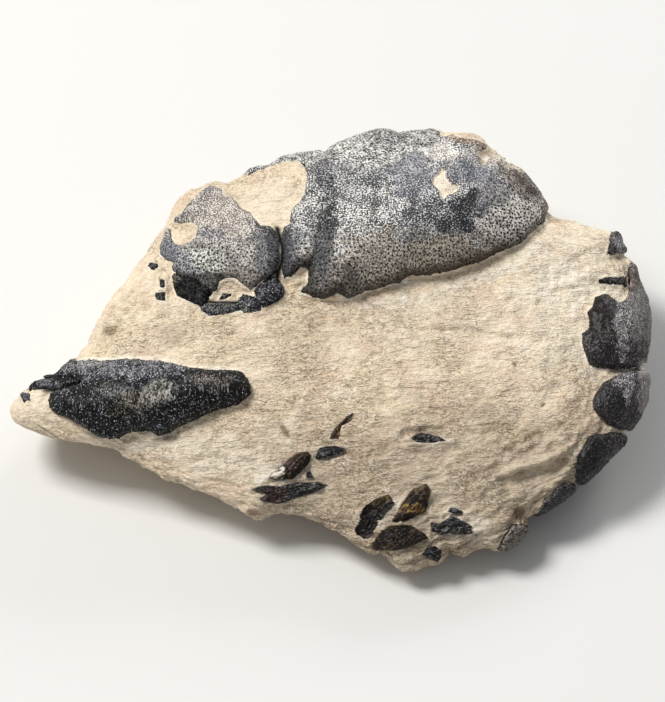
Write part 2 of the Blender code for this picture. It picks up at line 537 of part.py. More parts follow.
def make_rock(material, collection, cutter):
    """A ball whose skin is laid over the lens, thinned, and cut flat underneath."""
    mesh = bpy.data.meshes.new("matrix")
    bm = bmesh.new()
    bmesh.ops.create_icosphere(bm, subdivisions=ROCK_SUBDIVISIONS, radius=1.0)
    ball = np.array([vert.co[:] for vert in bm.verts])
    turn = np.arccos(np.clip(ball[:, 2], -1.0, 1.0))
    angle = np.arctan2(ball[:, 1], ball[:, 0])
    reach = turn * rim_radius(angle)
    flat = np.stack([np.cos(angle) * reach, np.sin(angle) * reach], axis=1)
    for vert, place in zip(bm.verts, wrap(flat)):
        vert.co = Vector(place) * MM
    bm.normal_update()
    normals = [vert.normal.copy() for vert in bm.verts]
    for vert, normal, depth in zip(bm.verts, normals, bed_depth(flat)):
        vert.co = vert.co - normal * float(depth) * MM
    bm.to_mesh(mesh)
    bm.free()
    rock = put_object("matrix", mesh, material, collection)
    thin = rock.modifiers.new("thin", "DECIMATE")
    thin.ratio = ROCK_TRIANGLES_KEPT
    flatten = rock.modifiers.new("underside", "BOOLEAN")
    flatten.operation = "DIFFERENCE"
    flatten.object = cutter
    return rock


def resample(outline, spacing):
    """Extra points along the long sides of an outline."""
    outline = np.array(outline)
    points = []
    for start, end in zip(outline, np.roll(outline, -1, axis=0)):
        count = max(1, round(float(np.hypot(*(end - start))) / spacing))
        points.extend(start + (end - start) * step / count for step in range(count))
    return np.array(points)


def inner_points(outline, spacing):
    """A grid of staggered points inside an outline, clear of its edge."""
    low = outline.min(axis=0)
    high = outline.max(axis=0)
    row_height = spacing * math.sqrt(0.75)
    rows = []
    for index, y in enumerate(np.arange(low[1], high[1], row_height)):
        x = np.arange(low[0] + 0.5 * spacing * (index % 2), high[0], spacing)
        rows.append(np.stack([x, np.full(len(x), y)], axis=1))
    points = np.concatenate(rows)
    clear = edge_distance(points, outline, True) > INNER_CLEARANCE * spacing
    return points[is_inside(points, outline) & clear]


def make_shell(name, outline, thick, thin_edge, spacing, material, collection):
    """A sheet over the rock, thickened outwards, thinner towards its edge."""
    border = unroll(resample(outline, spacing))
    inner = inner_points(border, spacing)
    flat = np.concatenate([border, inner])
    corners = [Vector(point) for point in flat]
    rim_order = list(range(len(border)))
    places_2d, _, triangles, *_ = delaunay_2d_cdt(corners, [], [rim_order], FILL_INSIDE_ONLY, SMALLEST)
    flat = np.array([place[:] for place in places_2d])
    places = wrap(flat)
    crown = np.clip(edge_distance(flat, border, True) / (SHELL_CROWN_WIDTH * thick), 0.0, 1.0)
    mesh = bpy.data.meshes.new(name)
    bm = bmesh.new()
    weights = bm.verts.layers.deform.verify()
    verts = [bm.verts.new(Vector(place) * MM) for place in places]
    for vert, weight in zip(verts, crown):
        vert[weights][0] = float(weight * (2.0 - weight))
    for triangle in triangles:
        bm.faces.new([verts[index] for index in triangle])
    bm.normal_update()
    for vert in bm.verts:
        vert.co = vert.co + vert.normal * SHELL_LIFT * MM
    bm.to_mesh(mesh)
    bm.free()
    mesh.shade_smooth()
    shell = put_object(name, mesh, material, collection)
    shell.vertex_groups.new(name="crown")
    solidify = shell.modifiers.new("thickness", "SOLIDIFY")
    solidify.thickness = thick * MM
    solidify.offset = 1.0
    solidify.vertex_group = "crown"
    solidify.thickness_vertex_group = thin_edge / thick
    return shell


def main():
    clear_scene()
    parts = new_collection("fossil_lobster")
    cutters = new_collection("cutters")
    materials = {name: make_material(name) for name in MATERIALS}
    cutter = make_underside_cutter(cutters)
    make_rock(materials["rock"], parts, cutter)
    for name, outline, thick, thin_edge, spacing, material in SHIELDS + SCRAPS:
        make_shell(name, outline, thick, thin_edge, spacing, materials[material], parts)


main()
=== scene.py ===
"""A fossil lobster in its rock nodule: the finished surfaces, laid over the solid model.

The nodule is a lens drawn on a slanted plane, in millimetres: u runs to the right and v runs up
the slope. The rock and every piece of shell are fine meshes that follow the same lens as the
solids, with lumps, cracks, broken edges and coarse grain as real relief. Pits and finer grain are
patterns of the materials, which masks that the meshes carry as attributes place and colour.
"""

import math
from functools import partial

import bpy
import numpy as np
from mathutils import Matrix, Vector
from mathutils.geometry import delaunay_2d_cdt


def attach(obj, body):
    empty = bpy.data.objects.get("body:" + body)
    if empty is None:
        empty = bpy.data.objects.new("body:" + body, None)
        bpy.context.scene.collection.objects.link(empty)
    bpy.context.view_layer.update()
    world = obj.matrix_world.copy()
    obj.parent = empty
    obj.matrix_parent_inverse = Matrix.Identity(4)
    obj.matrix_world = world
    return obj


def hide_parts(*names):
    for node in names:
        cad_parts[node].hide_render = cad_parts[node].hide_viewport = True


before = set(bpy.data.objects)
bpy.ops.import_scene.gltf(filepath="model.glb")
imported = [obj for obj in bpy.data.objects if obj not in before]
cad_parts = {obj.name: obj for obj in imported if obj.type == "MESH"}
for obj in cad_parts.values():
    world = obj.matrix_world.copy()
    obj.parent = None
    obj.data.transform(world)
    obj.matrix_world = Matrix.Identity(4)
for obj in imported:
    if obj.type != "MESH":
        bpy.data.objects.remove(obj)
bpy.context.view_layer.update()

MM = 0.001

# ---------------------------------------------------------------------------
# The lens and the drawing of the fossil, the same as in the solid model
# ---------------------------------------------------------------------------

# The slanted plane and the lens
PLANE_TILT = math.radians(50.0)
LEAN = -0.40
FRONT_RISE = 9.0
BACK_DEPTH = 28.5
BACK_DEPTH_SLOPE = 0.42
EDGE_ROUNDING = 3.0
ORIGIN_SHIFT = (-0.32, -5.25, 19.0)
FRONT_LUMP_SIZE = 15.0
FRONT_LUMP_HEIGHT = 0.7
BACK_LUMP_SIZE = 17.0
BACK_LUMP_HEIGHT = 3.0

# Stretches of the rim, in degrees, that have shell folded round them
SHELL_ARCS = ((64.5, 123.0), (22.0, 46.5), (-42.0, 21.5))
SHELL_SET_BACK = 1.3

# The rim of the nodule, clockwise from the left tip
RIM = [
    (-64.2, -12.4), (-63.4, -9.8), (-61.8, -8.8), (-59.2, -7.2), (-57.0, -6.2), (-54.2, -6.0),
    (-52.4, -3.6), (-50.6, -2.0), (-48.4, 0.8), (-46.6, 5.6), (-44.6, 9.4), (-41.6, 12.8),
    (-38.8, 16.6), (-36.6, 19.4), (-35.2, 22.6), (-33.0, 25.0), (-31.6, 28.4), (-29.8, 30.8),
    (-27.8, 32.2), (-24.0, 33.8), (-21.6, 34.5), (-17.4, 36.2), (-13.0, 37.8), (-9.4, 39.2),
    (-6.0, 40.0), (-2.4, 40.4), (-0.4, 39.9), (0.6, 41.4), (3.0, 42.4), (6.4, 43.7),
    (10.6, 44.8), (12.2, 44.7), (14.0, 43.8), (17.6, 44.4), (20.4, 44.4), (22.4, 43.6),
    (25.2, 43.5), (28.0, 43.8), (30.8, 42.6), (32.8, 40.4), (35.6, 38.0), (39.0, 36.4),
    (41.6, 33.2), (43.8, 29.6), (44.6, 28.0), (47.2, 26.9), (52.0, 25.8), (55.2, 24.6),
    (57.2, 24.3), (58.4, 23.0), (60.0, 20.4), (60.0, 19.0), (61.4, 18.0), (62.4, 14.0),
    (64.0, 10.2), (64.6, 6.0), (64.4, 2.0), (63.6, -1.6), (63.8, -3.6), (64.2, -6.2),
    (63.8, -10.0), (62.2, -13.6), (60.2, -16.4), (59.4, -18.4), (56.6, -21.2), (54.0, -24.0),
    (50.6, -27.0), (47.2, -30.0), (43.6, -32.4), (40.0, -34.2), (37.2, -37.6), (34.2, -39.8),
    (30.8, -39.0), (28.8, -39.8), (26.8, -41.4), (24.0, -40.2), (22.6, -41.8), (20.0, -42.6),
    (16.4, -43.8), (14.2, -43.8), (11.6, -41.6), (10.0, -40.4), (8.2, -40.7), (6.0, -39.2),
    (2.0, -36.4), (-1.6, -34.2), (-5.4, -32.9), (-10.0, -32.4), (-12.2, -32.6), (-14.4, -33.5),
    (-16.4, -32.8), (-18.4, -31.4), (-23.0, -29.2), (-28.0, -27.4), (-33.0, -25.4),
    (-37.0, -23.4), (-40.4, -21.2), (-42.0, -20.1), (-45.0, -19.2), (-49.6, -18.4),
    (-55.0, -17.7), (-58.0, -16.8), (-61.0, -15.6), (-63.6, -14.2),
]

# The shield of the back, in two pieces
CARAPACE_FRONT = [
    (-23.4, 32.8), (-21.8, 32.0), (-21.2, 30.6), (-19.4, 30.2), (-18.2, 28.4), (-16.2, 27.4),
    (-15.0, 26.0), (-13.6, 24.8), (-12.0, 24.6), (-10.6, 23.4), (-10.2, 21.6), (-10.1, 19.0),
    (-10.4, 16.8), (-11.8, 15.4), (-13.6, 13.8), (-16.0, 12.0), (-17.4, 13.0), (-18.8, 14.2),
    (-20.4, 14.4), (-22.0, 13.6), (-22.6, 12.2), (-23.8, 11.4), (-25.2, 12.4), (-26.8, 14.2),
    (-28.8, 14.2), (-30.4, 15.0), (-31.6, 16.4), (-31.2, 17.4), (-32.6, 17.8), (-33.8, 19.0),
    (-34.0, 20.4), (-33.4, 22.2), (-33.0, 23.6), (-32.0, 24.4), (-31.8, 22.6), (-31.0, 21.2),
    (-29.6, 20.8), (-28.0, 21.4), (-26.8, 22.4), (-26.4, 24.2), (-26.8, 25.0), (-28.4, 25.4),
    (-31.2, 25.4), (-31.0, 26.2), (-29.2, 27.6), (-28.0, 29.4), (-26.2, 31.2), (-24.8, 32.4),
]
CARAPACE_REAR = [
    (-18.2, 35.0), (-16.6, 35.0), (-15.2, 35.6), (-13.6, 36.2), (-11.6, 37.2), (-9.2, 37.4),
    (-6.6, 37.6), (-5.0, 36.8), (-4.6, 35.2), (-4.8, 32.8), (-5.2, 30.8), (-6.0, 29.4),
    (-7.4, 28.2), (-7.8, 26.6), (-8.0, 25.2), (-9.2, 24.4), (-9.7, 23.2), (-9.7, 20.8),
    (-9.7, 18.4), (-9.6, 16.0), (-9.2, 14.4), (-7.6, 14.8), (-6.6, 15.8), (-5.8, 16.8),
    (-4.4, 16.4), (-4.2, 14.6), (-4.4, 13.0), (-5.6, 12.2), (-5.8, 11.4), (-4.4, 11.2),
    (-3.4, 10.6), (-2.0, 10.3), (-0.4, 10.8), (1.4, 11.5), (2.6, 10.8), (3.6, 10.4),
    (5.2, 11.0), (6.8, 11.9), (10.0, 12.6), (12.0, 13.5), (14.0, 13.9), (15.8, 15.0),
    (19.0, 15.2), (22.0, 15.6), (24.4, 16.2), (27.2, 17.0), (30.0, 17.9), (34.0, 19.8),
    (36.4, 20.7), (38.2, 21.6), (39.8, 23.2), (41.4, 24.6), (43.0, 25.6), (43.4, 27.4),
    (43.4, 29.2), (42.9, 30.9), (41.4, 33.4), (39.2, 36.2), (36.4, 37.9), (35.0, 38.0),
    (33.2, 38.5), (32.0, 38.3), (31.3, 37.2), (30.7, 36.7), (30.1, 37.2), (30.0, 38.4),
    (29.2, 39.3), (29.7, 39.9), (31.4, 40.2), (31.2, 40.8), (30.0, 41.5), (28.2, 42.0),
    (26.4, 42.0), (25.4, 42.7), (24.0, 42.9), (23.0, 42.2), (22.0, 42.8), (21.8, 43.8),
    (21.9, 46.4), (19.0, 47.2), (15.4, 47.4), (10.0, 49.0), (4.4, 46.8), (0.2, 45.8),
    (-5.4, 42.6), (-11.0, 41.8), (-15.6, 39.4), (-19.4, 37.6),
]

# Small pieces round the mouth and left of the head
MOUTHPARTS = [
    (-31.6, 14.6), (-30.4, 15.6), (-28.8, 15.0), (-26.8, 15.0), (-25.2, 13.4), (-23.6, 12.4),
    (-23.3, 11.3), (-24.2, 10.4), (-24.4, 9.2), (-25.2, 8.4), (-27.2, 9.1), (-29.3, 10.0),
    (-30.6, 10.9), (-31.2, 12.4),
]
ANTENNA_BLOCK = [
    (-11.1, 14.9), (-10.0, 14.0), (-9.3, 12.0), (-9.3, 10.9), (-10.3, 9.8), (-11.9, 9.0),
    (-13.4, 8.3), (-14.6, 9.8), (-15.2, 11.6), (-14.4, 13.0), (-12.3, 14.4),
]
ANTENNA_KNOB = [
    (-18.4, 9.8), (-17.4, 10.9), (-16.2, 10.9), (-14.8, 10.3), (-13.6, 8.6), (-14.0, 7.6),
    (-15.6, 7.1), (-17.2, 7.2), (-18.4, 8.2),
]
ANTENNA_BAND = [
    (-24.8, 9.4), (-23.2, 9.0), (-21.8, 9.3), (-19.7, 9.0), (-17.8, 9.4), (-17.8, 7.7),
    (-20.2, 7.3), (-22.4, 6.7), (-24.0, 6.6), (-25.2, 7.3), (-25.9, 8.3),
]
ANTENNA_CHIP = [
    (-22.1, 10.1), (-21.3, 11.4), (-19.4, 11.3), (-19.7, 10.5), (-20.8, 10.2),
]
CHEEK_OVAL = [
    (-36.6, 16.7), (-35.6, 17.5), (-34.3, 17.0), (-34.3, 16.3), (-35.4, 15.8),
]
CHEEK_BAR = [
    (-34.1, 14.2), (-32.9, 14.0), (-32.9, 12.0), (-34.1, 12.1),
]
CHEEK_PLATE = [
    (-35.0, 11.4), (-32.9, 11.4), (-32.9, 9.6), (-34.8, 9.8),
]
# The claw
CLAW = [
    (-50.8, -2.6), (-48.0, -2.3), (-43.8, -2.3), (-40.4, -2.0), (-36.9, -2.2), (-33.1, -2.5),
    (-29.7, -3.4), (-26.2, -3.9), (-22.7, -4.2), (-19.6, -4.2), (-17.5, -4.7), (-16.5, -5.8),
    (-16.0, -7.3), (-15.8, -8.7), (-17.2, -9.8), (-18.2, -10.6), (-21.0, -11.3), (-24.5, -12.5),
    (-26.9, -13.9), (-30.0, -15.1), (-31.7, -16.3), (-34.2, -16.9), (-35.5, -16.0), (-38.3, -16.0),
    (-40.4, -16.3), (-42.1, -17.4), (-44.5, -17.4), (-46.3, -16.9), (-48.0, -15.7), (-50.4, -14.3),
    (-52.8, -13.2), (-54.9, -12.4), (-55.6, -11.5), (-56.0, -10.1), (-55.6, -8.9), (-54.2, -8.3),
    (-52.2, -7.5), (-49.4, -7.0), (-50.0, -5.0),
]
CLAW_FINGER = [
    (-59.9, -8.5), (-58.8, -8.3), (-57.8, -7.9), (-57.0, -7.6), (-56.0, -7.9), (-55.0, -8.1),
    (-54.2, -7.9), (-52.6, -7.4), (-50.8, -6.9), (-49.8, -6.7), (-50.2, -5.0), (-50.8, -2.8),
    (-51.4, -1.9), (-52.9, -3.1), (-54.6, -5.2), (-57.0, -5.6), (-58.6, -6.3), (-60.2, -7.4),
]
CLAW_TIP = [
    (-61.8, -8.9), (-59.8, -8.8), (-59.8, -10.1), (-61.2, -10.3),
]
# Scraps over the tail, and the tail round the right edge
EDGE_PIECE = [
    (56.6, 23.4), (57.6, 23.0), (60.8, 21.0), (61.2, 19.4), (57.8, 19.5), (56.6, 19.1),
    (55.6, 19.2), (56.0, 22.2),
]
EDGE_BAR = [
    (53.7, 13.9), (55.6, 14.4), (57.8, 14.4), (59.1, 14.7), (59.3, 12.6), (57.8, 12.9),
    (55.6, 13.1), (53.9, 13.3),
]
ABDOMEN_1 = [
    (60.0, 17.4), (61.2, 17.8), (64.0, 17.6), (68.4, 15.0), (72.0, 10.0), (72.8, 4.0),
    (71.6, -0.4), (67.2, -2.0), (63.4, -2.2), (62.2, -3.2), (61.5, -3.8), (59.1, -3.8),
    (56.6, -3.8), (54.2, -3.6), (52.0, -3.0), (51.3, -1.5), (50.6, 1.0), (50.6, 3.2), (52.0, 3.9),
    (52.0, 6.1), (51.5, 7.3), (52.7, 8.5), (53.2, 10.5), (55.2, 11.1), (56.4, 10.2), (57.4, 9.4),
    (58.8, 9.6), (59.8, 10.8), (60.1, 12.4), (59.8, 15.3),
]
ABDOMEN_2 = [
    (58.3, -4.7), (60.2, -4.4), (62.3, -4.4), (64.0, -3.4), (68.4, -3.2), (72.4, -4.4),
    (73.2, -8.4), (71.6, -13.6), (68.4, -17.6), (64.0, -17.6), (60.4, -16.1), (58.8, -16.0),
    (56.9, -15.6), (55.3, -14.8), (53.7, -13.3), (52.6, -11.6), (52.5, -10.2), (53.4, -8.3),
    (54.5, -6.8), (56.4, -5.8),
]
ABDOMEN_3 = [
    (54.2, -16.9), (55.8, -16.5), (58.5, -16.6), (60.2, -16.9), (64.0, -18.8), (66.8, -21.2),
    (64.6, -25.0), (59.6, -28.0), (55.2, -31.2), (52.8, -29.8), (50.2, -27.2), (49.0, -26.5),
    (49.0, -23.7), (49.5, -21.0), (50.9, -18.8), (51.4, -17.7), (52.6, -16.9),
]
ABDOMEN_4 = [
    (48.6, -26.5), (46.8, -26.5), (45.2, -27.2), (44.2, -28.9), (42.6, -30.0), (41.5, -31.8),
    (40.2, -33.5), (42.6, -35.8), (45.4, -38.4), (50.4, -34.8), (53.2, -32.2), (51.0, -29.4),
]
TAIL_END = [
    (36.2, -34.8), (38.1, -34.8), (39.6, -34.8), (42.0, -37.4), (44.4, -40.0), (41.2, -43.2),
    (37.6, -43.2), (34.6, -39.6), (33.2, -39.6), (34.0, -38.2), (35.1, -36.3),
]
# Joints of the legs
LEG_LEFT_UPPER = [
    (-12.3, -25.7), (-11.6, -24.7), (-9.8, -23.3), (-8.5, -22.0), (-7.1, -20.9), (-5.6, -20.4),
    (-4.2, -20.4), (-3.8, -21.1), (-4.0, -22.2), (-4.9, -23.5), (-6.2, -24.7), (-7.4, -25.7),
    (-10.0, -25.8),
]
LEG_LEFT_LOWER = [
    (-15.9, -27.8), (-14.1, -27.2), (-11.9, -27.0), (-9.9, -27.2), (-7.4, -26.5), (-5.6, -26.3),
    (-2.1, -26.4), (-0.3, -27.0), (-2.1, -27.9), (-4.7, -28.8), (-7.4, -29.6), (-9.2, -30.3),
    (-11.0, -30.5), (-13.2, -30.1), (-14.1, -29.6), (-12.5, -28.7),
]
LEG_LEFT_BLOCK = [
    (-2.9, -21.5), (-2.5, -20.2), (-2.1, -19.7), (-0.6, -19.2), (1.5, -19.2), (3.0, -19.7),
    (3.0, -20.4), (1.5, -21.1), (-0.3, -21.7), (-2.1, -21.9),
]
LEG_LEFT_SLIVER = [
    (-0.1, -17.7), (0.3, -16.8), (1.0, -15.6), (2.1, -14.5), (3.2, -13.4), (4.6, -12.5),
    (4.1, -13.8), (2.4, -15.2), (2.1, -16.3), (1.8, -17.7),
]
LEG_LEFT_CHIP = [
    (-4.7, -24.2), (-4.2, -23.8), (-3.2, -25.4), (-4.7, -25.5),
]
LEG_SLIVER = [
    (15.8, -17.7), (17.0, -16.9), (18.4, -16.5), (20.4, -16.9), (22.0, -17.3), (23.8, -18.3),
    (21.6, -18.5), (20.4, -18.9), (18.4, -18.8), (17.0, -18.7),
]
LEG_LOW_LEFT = [
    (12.7, -30.4), (12.4, -31.4), (11.2, -32.4), (10.2, -33.6), (9.6, -35.3), (8.5, -36.7),
    (7.5, -37.5), (6.3, -37.5), (5.3, -36.7), (4.9, -35.7), (5.7, -34.3), (6.0, -32.4),
    (7.1, -31.0), (9.2, -29.6), (11.6, -28.8),
]
LEG_LOW_RIGHT = [
    (19.2, -26.7), (19.8, -27.5), (19.8, -29.1), (19.4, -30.8), (19.0, -32.0), (17.4, -32.8),
    (16.2, -33.6), (14.3, -34.2), (12.3, -34.1), (13.3, -32.4), (14.3, -31.0), (15.3, -29.5),
    (16.6, -27.7), (18.0, -27.1),
]
LEG_LOW_BASE = [
    (8.1, -38.9), (9.1, -37.6), (10.4, -36.0), (11.8, -35.0), (13.5, -34.8), (16.2, -35.0),
    (17.6, -35.8), (19.0, -36.7), (19.6, -37.4), (18.4, -37.9), (16.8, -38.8), (15.1, -39.4),
    (12.3, -39.8), (9.4, -39.6),
]
LEG_LOW_JOINT = [
    (20.0, -34.4), (22.1, -34.4), (22.9, -33.8), (23.9, -33.1), (25.2, -33.4), (26.6, -34.1),
    (28.1, -34.9), (28.3, -36.5), (25.8, -36.8), (23.7, -36.3), (22.5, -36.7), (20.2, -36.0),
]
LEG_LOW_CHIP = [
    (23.3, -32.2), (24.2, -31.3), (25.4, -31.6), (26.5, -32.2), (25.8, -32.8), (25.0, -32.6),
]
LEG_LOW_FOOT = [
    (19.4, -39.0), (20.9, -38.9), (21.9, -39.8), (22.0, -41.0), (21.1, -41.8), (20.1, -41.4),
    (18.2, -40.6), (19.0, -39.8),
]
# Lines of the relief, and the swellings under the shields
NECK_GROOVE = [
    (-0.6, 40.8), (0.6, 37.2), (0.8, 35.4), (0.2, 32.7), (0.5, 30.5), (-0.3, 28.4), (-1.9, 25.7),
    (-2.5, 23.0), (-2.7, 19.8), (-3.3, 17.1), (-4.6, 14.8),
]
COLLAR_RIDGE = [
    (-12.8, 24.4), (-11.4, 23.2), (-10.9, 20.8), (-11.0, 18.4), (-12.2, 16.0),
]
BODY_MOULD = [
    (-34.8, 18.4), (-33.0, 15.6), (-30.0, 13.6), (-26.0, 12.0), (-23.0, 10.6), (-19.0, 11.6),
    (-15.6, 11.6), (-12.0, 13.6), (-8.8, 13.2), (-6.0, 10.8), (-1.6, 9.8), (2.6, 9.8), (6.8, 11.2),
    (11.6, 12.8), (15.8, 14.2), (22.0, 14.8), (27.2, 16.0), (33.4, 18.6), (38.6, 21.2),
    (43.0, 24.8), (45.2, 28.4), (56.0, 34.0), (46.0, 58.0), (20.0, 72.0), (-6.0, 66.0),
    (-30.0, 54.0), (-44.0, 36.0), (-36.8, 22.8),
]
REAR_MOULD = [
    (-2.4, 10.0), (2.6, 9.8), (6.8, 11.2), (11.6, 12.8), (15.8, 14.2), (22.0, 14.8), (27.2, 16.0),
    (33.4, 18.6), (38.6, 21.2), (43.0, 24.8), (45.2, 28.4), (56.0, 34.0), (46.0, 58.0),
    (20.0, 72.0), (2.0, 58.0), (0.0, 40.0), (0.8, 35.0), (0.4, 30.6), (-2.0, 25.6), (-2.8, 19.8),
]
LEDGE_FRONT = [
    (35.9, -24.0), (38.0, -23.2), (40.8, -22.0), (44.6, -21.8), (45.8, -20.2), (47.2, -19.4),
    (48.8, -20.0),
]
LEDGE_SMALL = [
    (44.0, -17.8), (46.2, -17.9), (48.4, -18.8),
]
FACE_STEP = [
    (6.8, 10.8), (8.0, 9.0), (11.2, 7.6), (14.4, 6.2), (16.8, 4.6), (20.6, 4.0), (25.4, 3.8),
    (29.2, 3.2), (36.4, 2.4),
]

# Swellings that the shell lies on: outline, height, width of the slope
SWELLINGS = [
    (BODY_MOULD, 4.5, 12.0),
    (REAR_MOULD, 5.0, 14.0),
    (CLAW, 4.2, 7.0),
    (ABDOMEN_1, 4.2, 6.5),
    (ABDOMEN_2, 3.8, 5.5),
    (ABDOMEN_3, 3.2, 4.5),
    (ABDOMEN_4, 1.6, 3.0),
]

# Ridges and, with a negative height, grooves: line, height, half width
CREASES = [
    (NECK_GROOVE, -1.6, 1.7),
    (COLLAR_RIDGE, 1.0, 1.2),
    (LEDGE_FRONT, 1.0, 1.3),
    (LEDGE_SMALL, 0.6, 0.9),
    (FACE_STEP, -0.35, 0.9),
]


# ---------------------------------------------------------------------------
# Distances on the drawing, and the lens that the drawing is wrapped on
# ---------------------------------------------------------------------------


def smooth_step(x):
    """A soft rise from 0 to 1."""
    x = np.clip(x, 0.0, 1.0)
    return x * x * (3.0 - 2.0 * x)


def above(values, start, width):
    """0 up to a start, and from there a soft rise to 1 over a width."""
    return smooth_step((values - start) / width)


def below(values, end, width):
    """0 from an end on, and a soft rise to 1 over a width before it."""
    return smooth_step((end - values) / width)


def set_back(angle):
    """How far the rock's rim stays inside the drawn rim, to leave room for shell round the edge."""
    depth = np.zeros_like(angle)
    for start, end in SHELL_ARCS:
        inside = np.minimum(angle - math.radians(start), math.radians(end) - angle)
        depth = np.maximum(depth, smooth_step(inside / math.radians(3.0) + 0.5))
    return SHELL_SET_BACK * depth


def rim_radius(angle):
    """Distance from the centre of the lens to its rim, in the direction of each angle."""
    points = np.array(RIM)
    angles = np.arctan2(points[:, 1], points[:, 0])
    order = np.argsort(angles)
    radii = np.hypot(points[:, 0], points[:, 1])
    return np.interp(angle, angles[order], radii[order], period=2.0 * math.pi) - set_back(angle)


def radius_and_rim(points):
    """How far each point lies from the centre of the lens, and how far the rim lies that way."""
    radius = np.maximum(np.hypot(points[:, 0], points[:, 1]), 1e-6)
    return radius, rim_radius(np.arctan2(points[:, 1], points[:, 0]))


def edge_distance(points, line, closed):
    """Distance of each point to a line of straight pieces."""
    line = np.array(line)
    starts = line if closed else line[:-1]
    ends = np.roll(line, -1, axis=0) if closed else line[1:]
    nearest = np.full(len(points), np.inf)
    for start, end in zip(starts, ends):
        run = end - start
        along = np.clip((points - start) @ run / (run @ run), 0.0, 1.0)
        off = points - start - along[:, None] * run
        nearest = np.minimum(nearest, np.hypot(off[:, 0], off[:, 1]))
    return nearest


def is_inside(points, outline):
    """Which points lie inside an outline."""
    inside = np.zeros(len(points), bool)
    outline = np.array(outline)
    for (x0, y0), (x1, y1) in zip(outline, np.roll(outline, -1, axis=0)):
        crosses = (y0 > points[:, 1]) != (y1 > points[:, 1])
        reach = x0 + (points[:, 1] - y0) * (x1 - x0) / (y1 - y0 + 1e-12)
        inside ^= crosses & (points[:, 0] < reach)
    return inside


def near_line(points, line, reach):
    """Which points lie in the box round a line, widened by a reach."""
    line = np.array(line)
    low = line.min(axis=0) - reach
    high = line.max(axis=0) + reach
    return np.all((points > low) & (points < high), axis=1)


def depth_inside(points, outline):
    """How far inside an outline each point lies: 0 at the outline and outside it."""
    depth = np.zeros(len(points))
    near = near_line(points, outline, 0.0)
    near[near] = is_inside(points[near], outline)
    depth[near] = edge_distance(points[near], outline, True)
    return depth


def swelling(points, outline, height, slope_width):
    """A cushion over an outline: it rises from the edge and levels off in the middle."""
    rise = np.clip(depth_inside(points, outline) / slope_width, 0.0, 1.0)
    return height * rise * (2.0 - rise)


def crease(points, line, height, half_width):
    """A rounded ridge along a line, or a furrow where the height is below 0."""
    rise = np.zeros(len(points))
    near = near_line(points, line, 3.0 * half_width)
    away = edge_distance(points[near], line, False) / half_width
    rise[near] = height * np.exp(-(away**2))
    return rise


def lattice_value(cells, seed):
    """A repeatable number from 0 to 1 for each cell of a 2D lattice."""
    x = cells[:, 0].astype(np.uint32)
    y = cells[:, 1].astype(np.uint32)
    mixed = x * np.uint32(374761393) + y * np.uint32(668265263) + np.uint32(seed * 97 + 13)
    mixed = (mixed ^ (mixed >> np.uint32(13))) * np.uint32(1274126177)
    return (mixed ^ (mixed >> np.uint32(16))).astype(np.float64) / 4294967295.0


def lumps(points, size, seed):
    """Smooth unevenness from -1 to 1."""
    scaled = points / size
    cells = np.floor(scaled).astype(np.int64)
    part = smooth_step(scaled - cells)
    total = np.zeros(len(points))
    for step in ((0, 0), (1, 0), (0, 1), (1, 1)):
        weight = np.abs(1 - step[0] - part[:, 0]) * np.abs(1 - step[1] - part[:, 1])
        total += weight * lattice_value(cells + np.array(step), seed)
    return 2.0 * total - 1.0


def front_rise(points):
    """Height of the front face over the slanted plane, before the rim closes it."""
    rise = FRONT_RISE + FRONT_LUMP_HEIGHT * lumps(points, FRONT_LUMP_SIZE, 3)
    for outline, height, slope_width in SWELLINGS:
        rise = rise + swelling(points, outline, height, slope_width)
    for line, height, half_width in CREASES:
        rise = rise + crease(points, line, height, half_width)
    return rise


def back_depth(points):
    """Depth of the back behind the slanted plane, before the rim closes it."""
    uneven = BACK_LUMP_HEIGHT * lumps(points, BACK_LUMP_SIZE, 8)
    return BACK_DEPTH + BACK_DEPTH_SLOPE * points[:, 1] + uneven


def unroll(points):
    """Points of the drawing, beyond the rim too, to a plane where the lens's skin lies flat."""
    points = np.array(points, float)
    radius, rim = radius_and_rim(points)
    fraction = radius / rim
    front = np.arcsin(np.minimum(fraction, 1.0))
    back = math.pi - np.arcsin(np.clip(2.0 - fraction, 0.0, 1.0))
    turn = np.where(fraction <= 1.0, front, back)
    return points * (turn / fraction)[:, None]


def wrap(flat):
    """Points of the unrolled skin to their places on the lens, in millimetres."""
    radius, rim = radius_and_rim(flat)
    direction = flat / radius[:, None]
    turn = np.minimum(radius / rim, math.pi)
    fraction = np.sin(turn)
    on_front = turn <= 0.5 * math.pi
    drawn = direction * (rim * np.where(on_front, fraction, 2.0 - fraction))[:, None]
    seen = direction * (rim * fraction)[:, None]
    closing = np.sqrt(np.maximum(1.0 - fraction**EDGE_ROUNDING, 0.0))
    rise = np.where(on_front, front_rise(drawn), -back_depth(seen))
    forward = LEAN * seen[:, 1] + rise * closing
    y = seen[:, 1] * math.sin(PLANE_TILT) - forward * math.cos(PLANE_TILT)
    z = seen[:, 1] * math.cos(PLANE_TILT) + forward * math.sin(PLANE_TILT)
    return np.stack([seen[:, 0], y, z], axis=1) + np.array(ORIGIN_SHIFT)


# ---------------------------------------------------------------------------
# Colours, grain and soft patches
# ---------------------------------------------------------------------------

# Each layer of grain is turned against the last, in degrees, and is finer and weaker
GRAIN_TURN = 37.0
GRAIN_FINER = 0.47
GRAIN_WEAKER = 0.6
GRAIN_SPAN = 1.3

# A soft patch ends at this share of its radii and fades over the next share
SPOT_END = 1.35
SPOT_FADE = 0.8
SPOT_GRAIN = 2.4


def paint(red, green, blue):
    """A colour given in display values from 0 to 255, as linear light."""
    channels = np.array([red, green, blue]) / 255.0
    linear = np.where(channels < 0.04045, channels / 12.92, ((channels + 0.055) / 1.055) ** 2.4)
    return (*(float(channel) for channel in linear), 1.0)


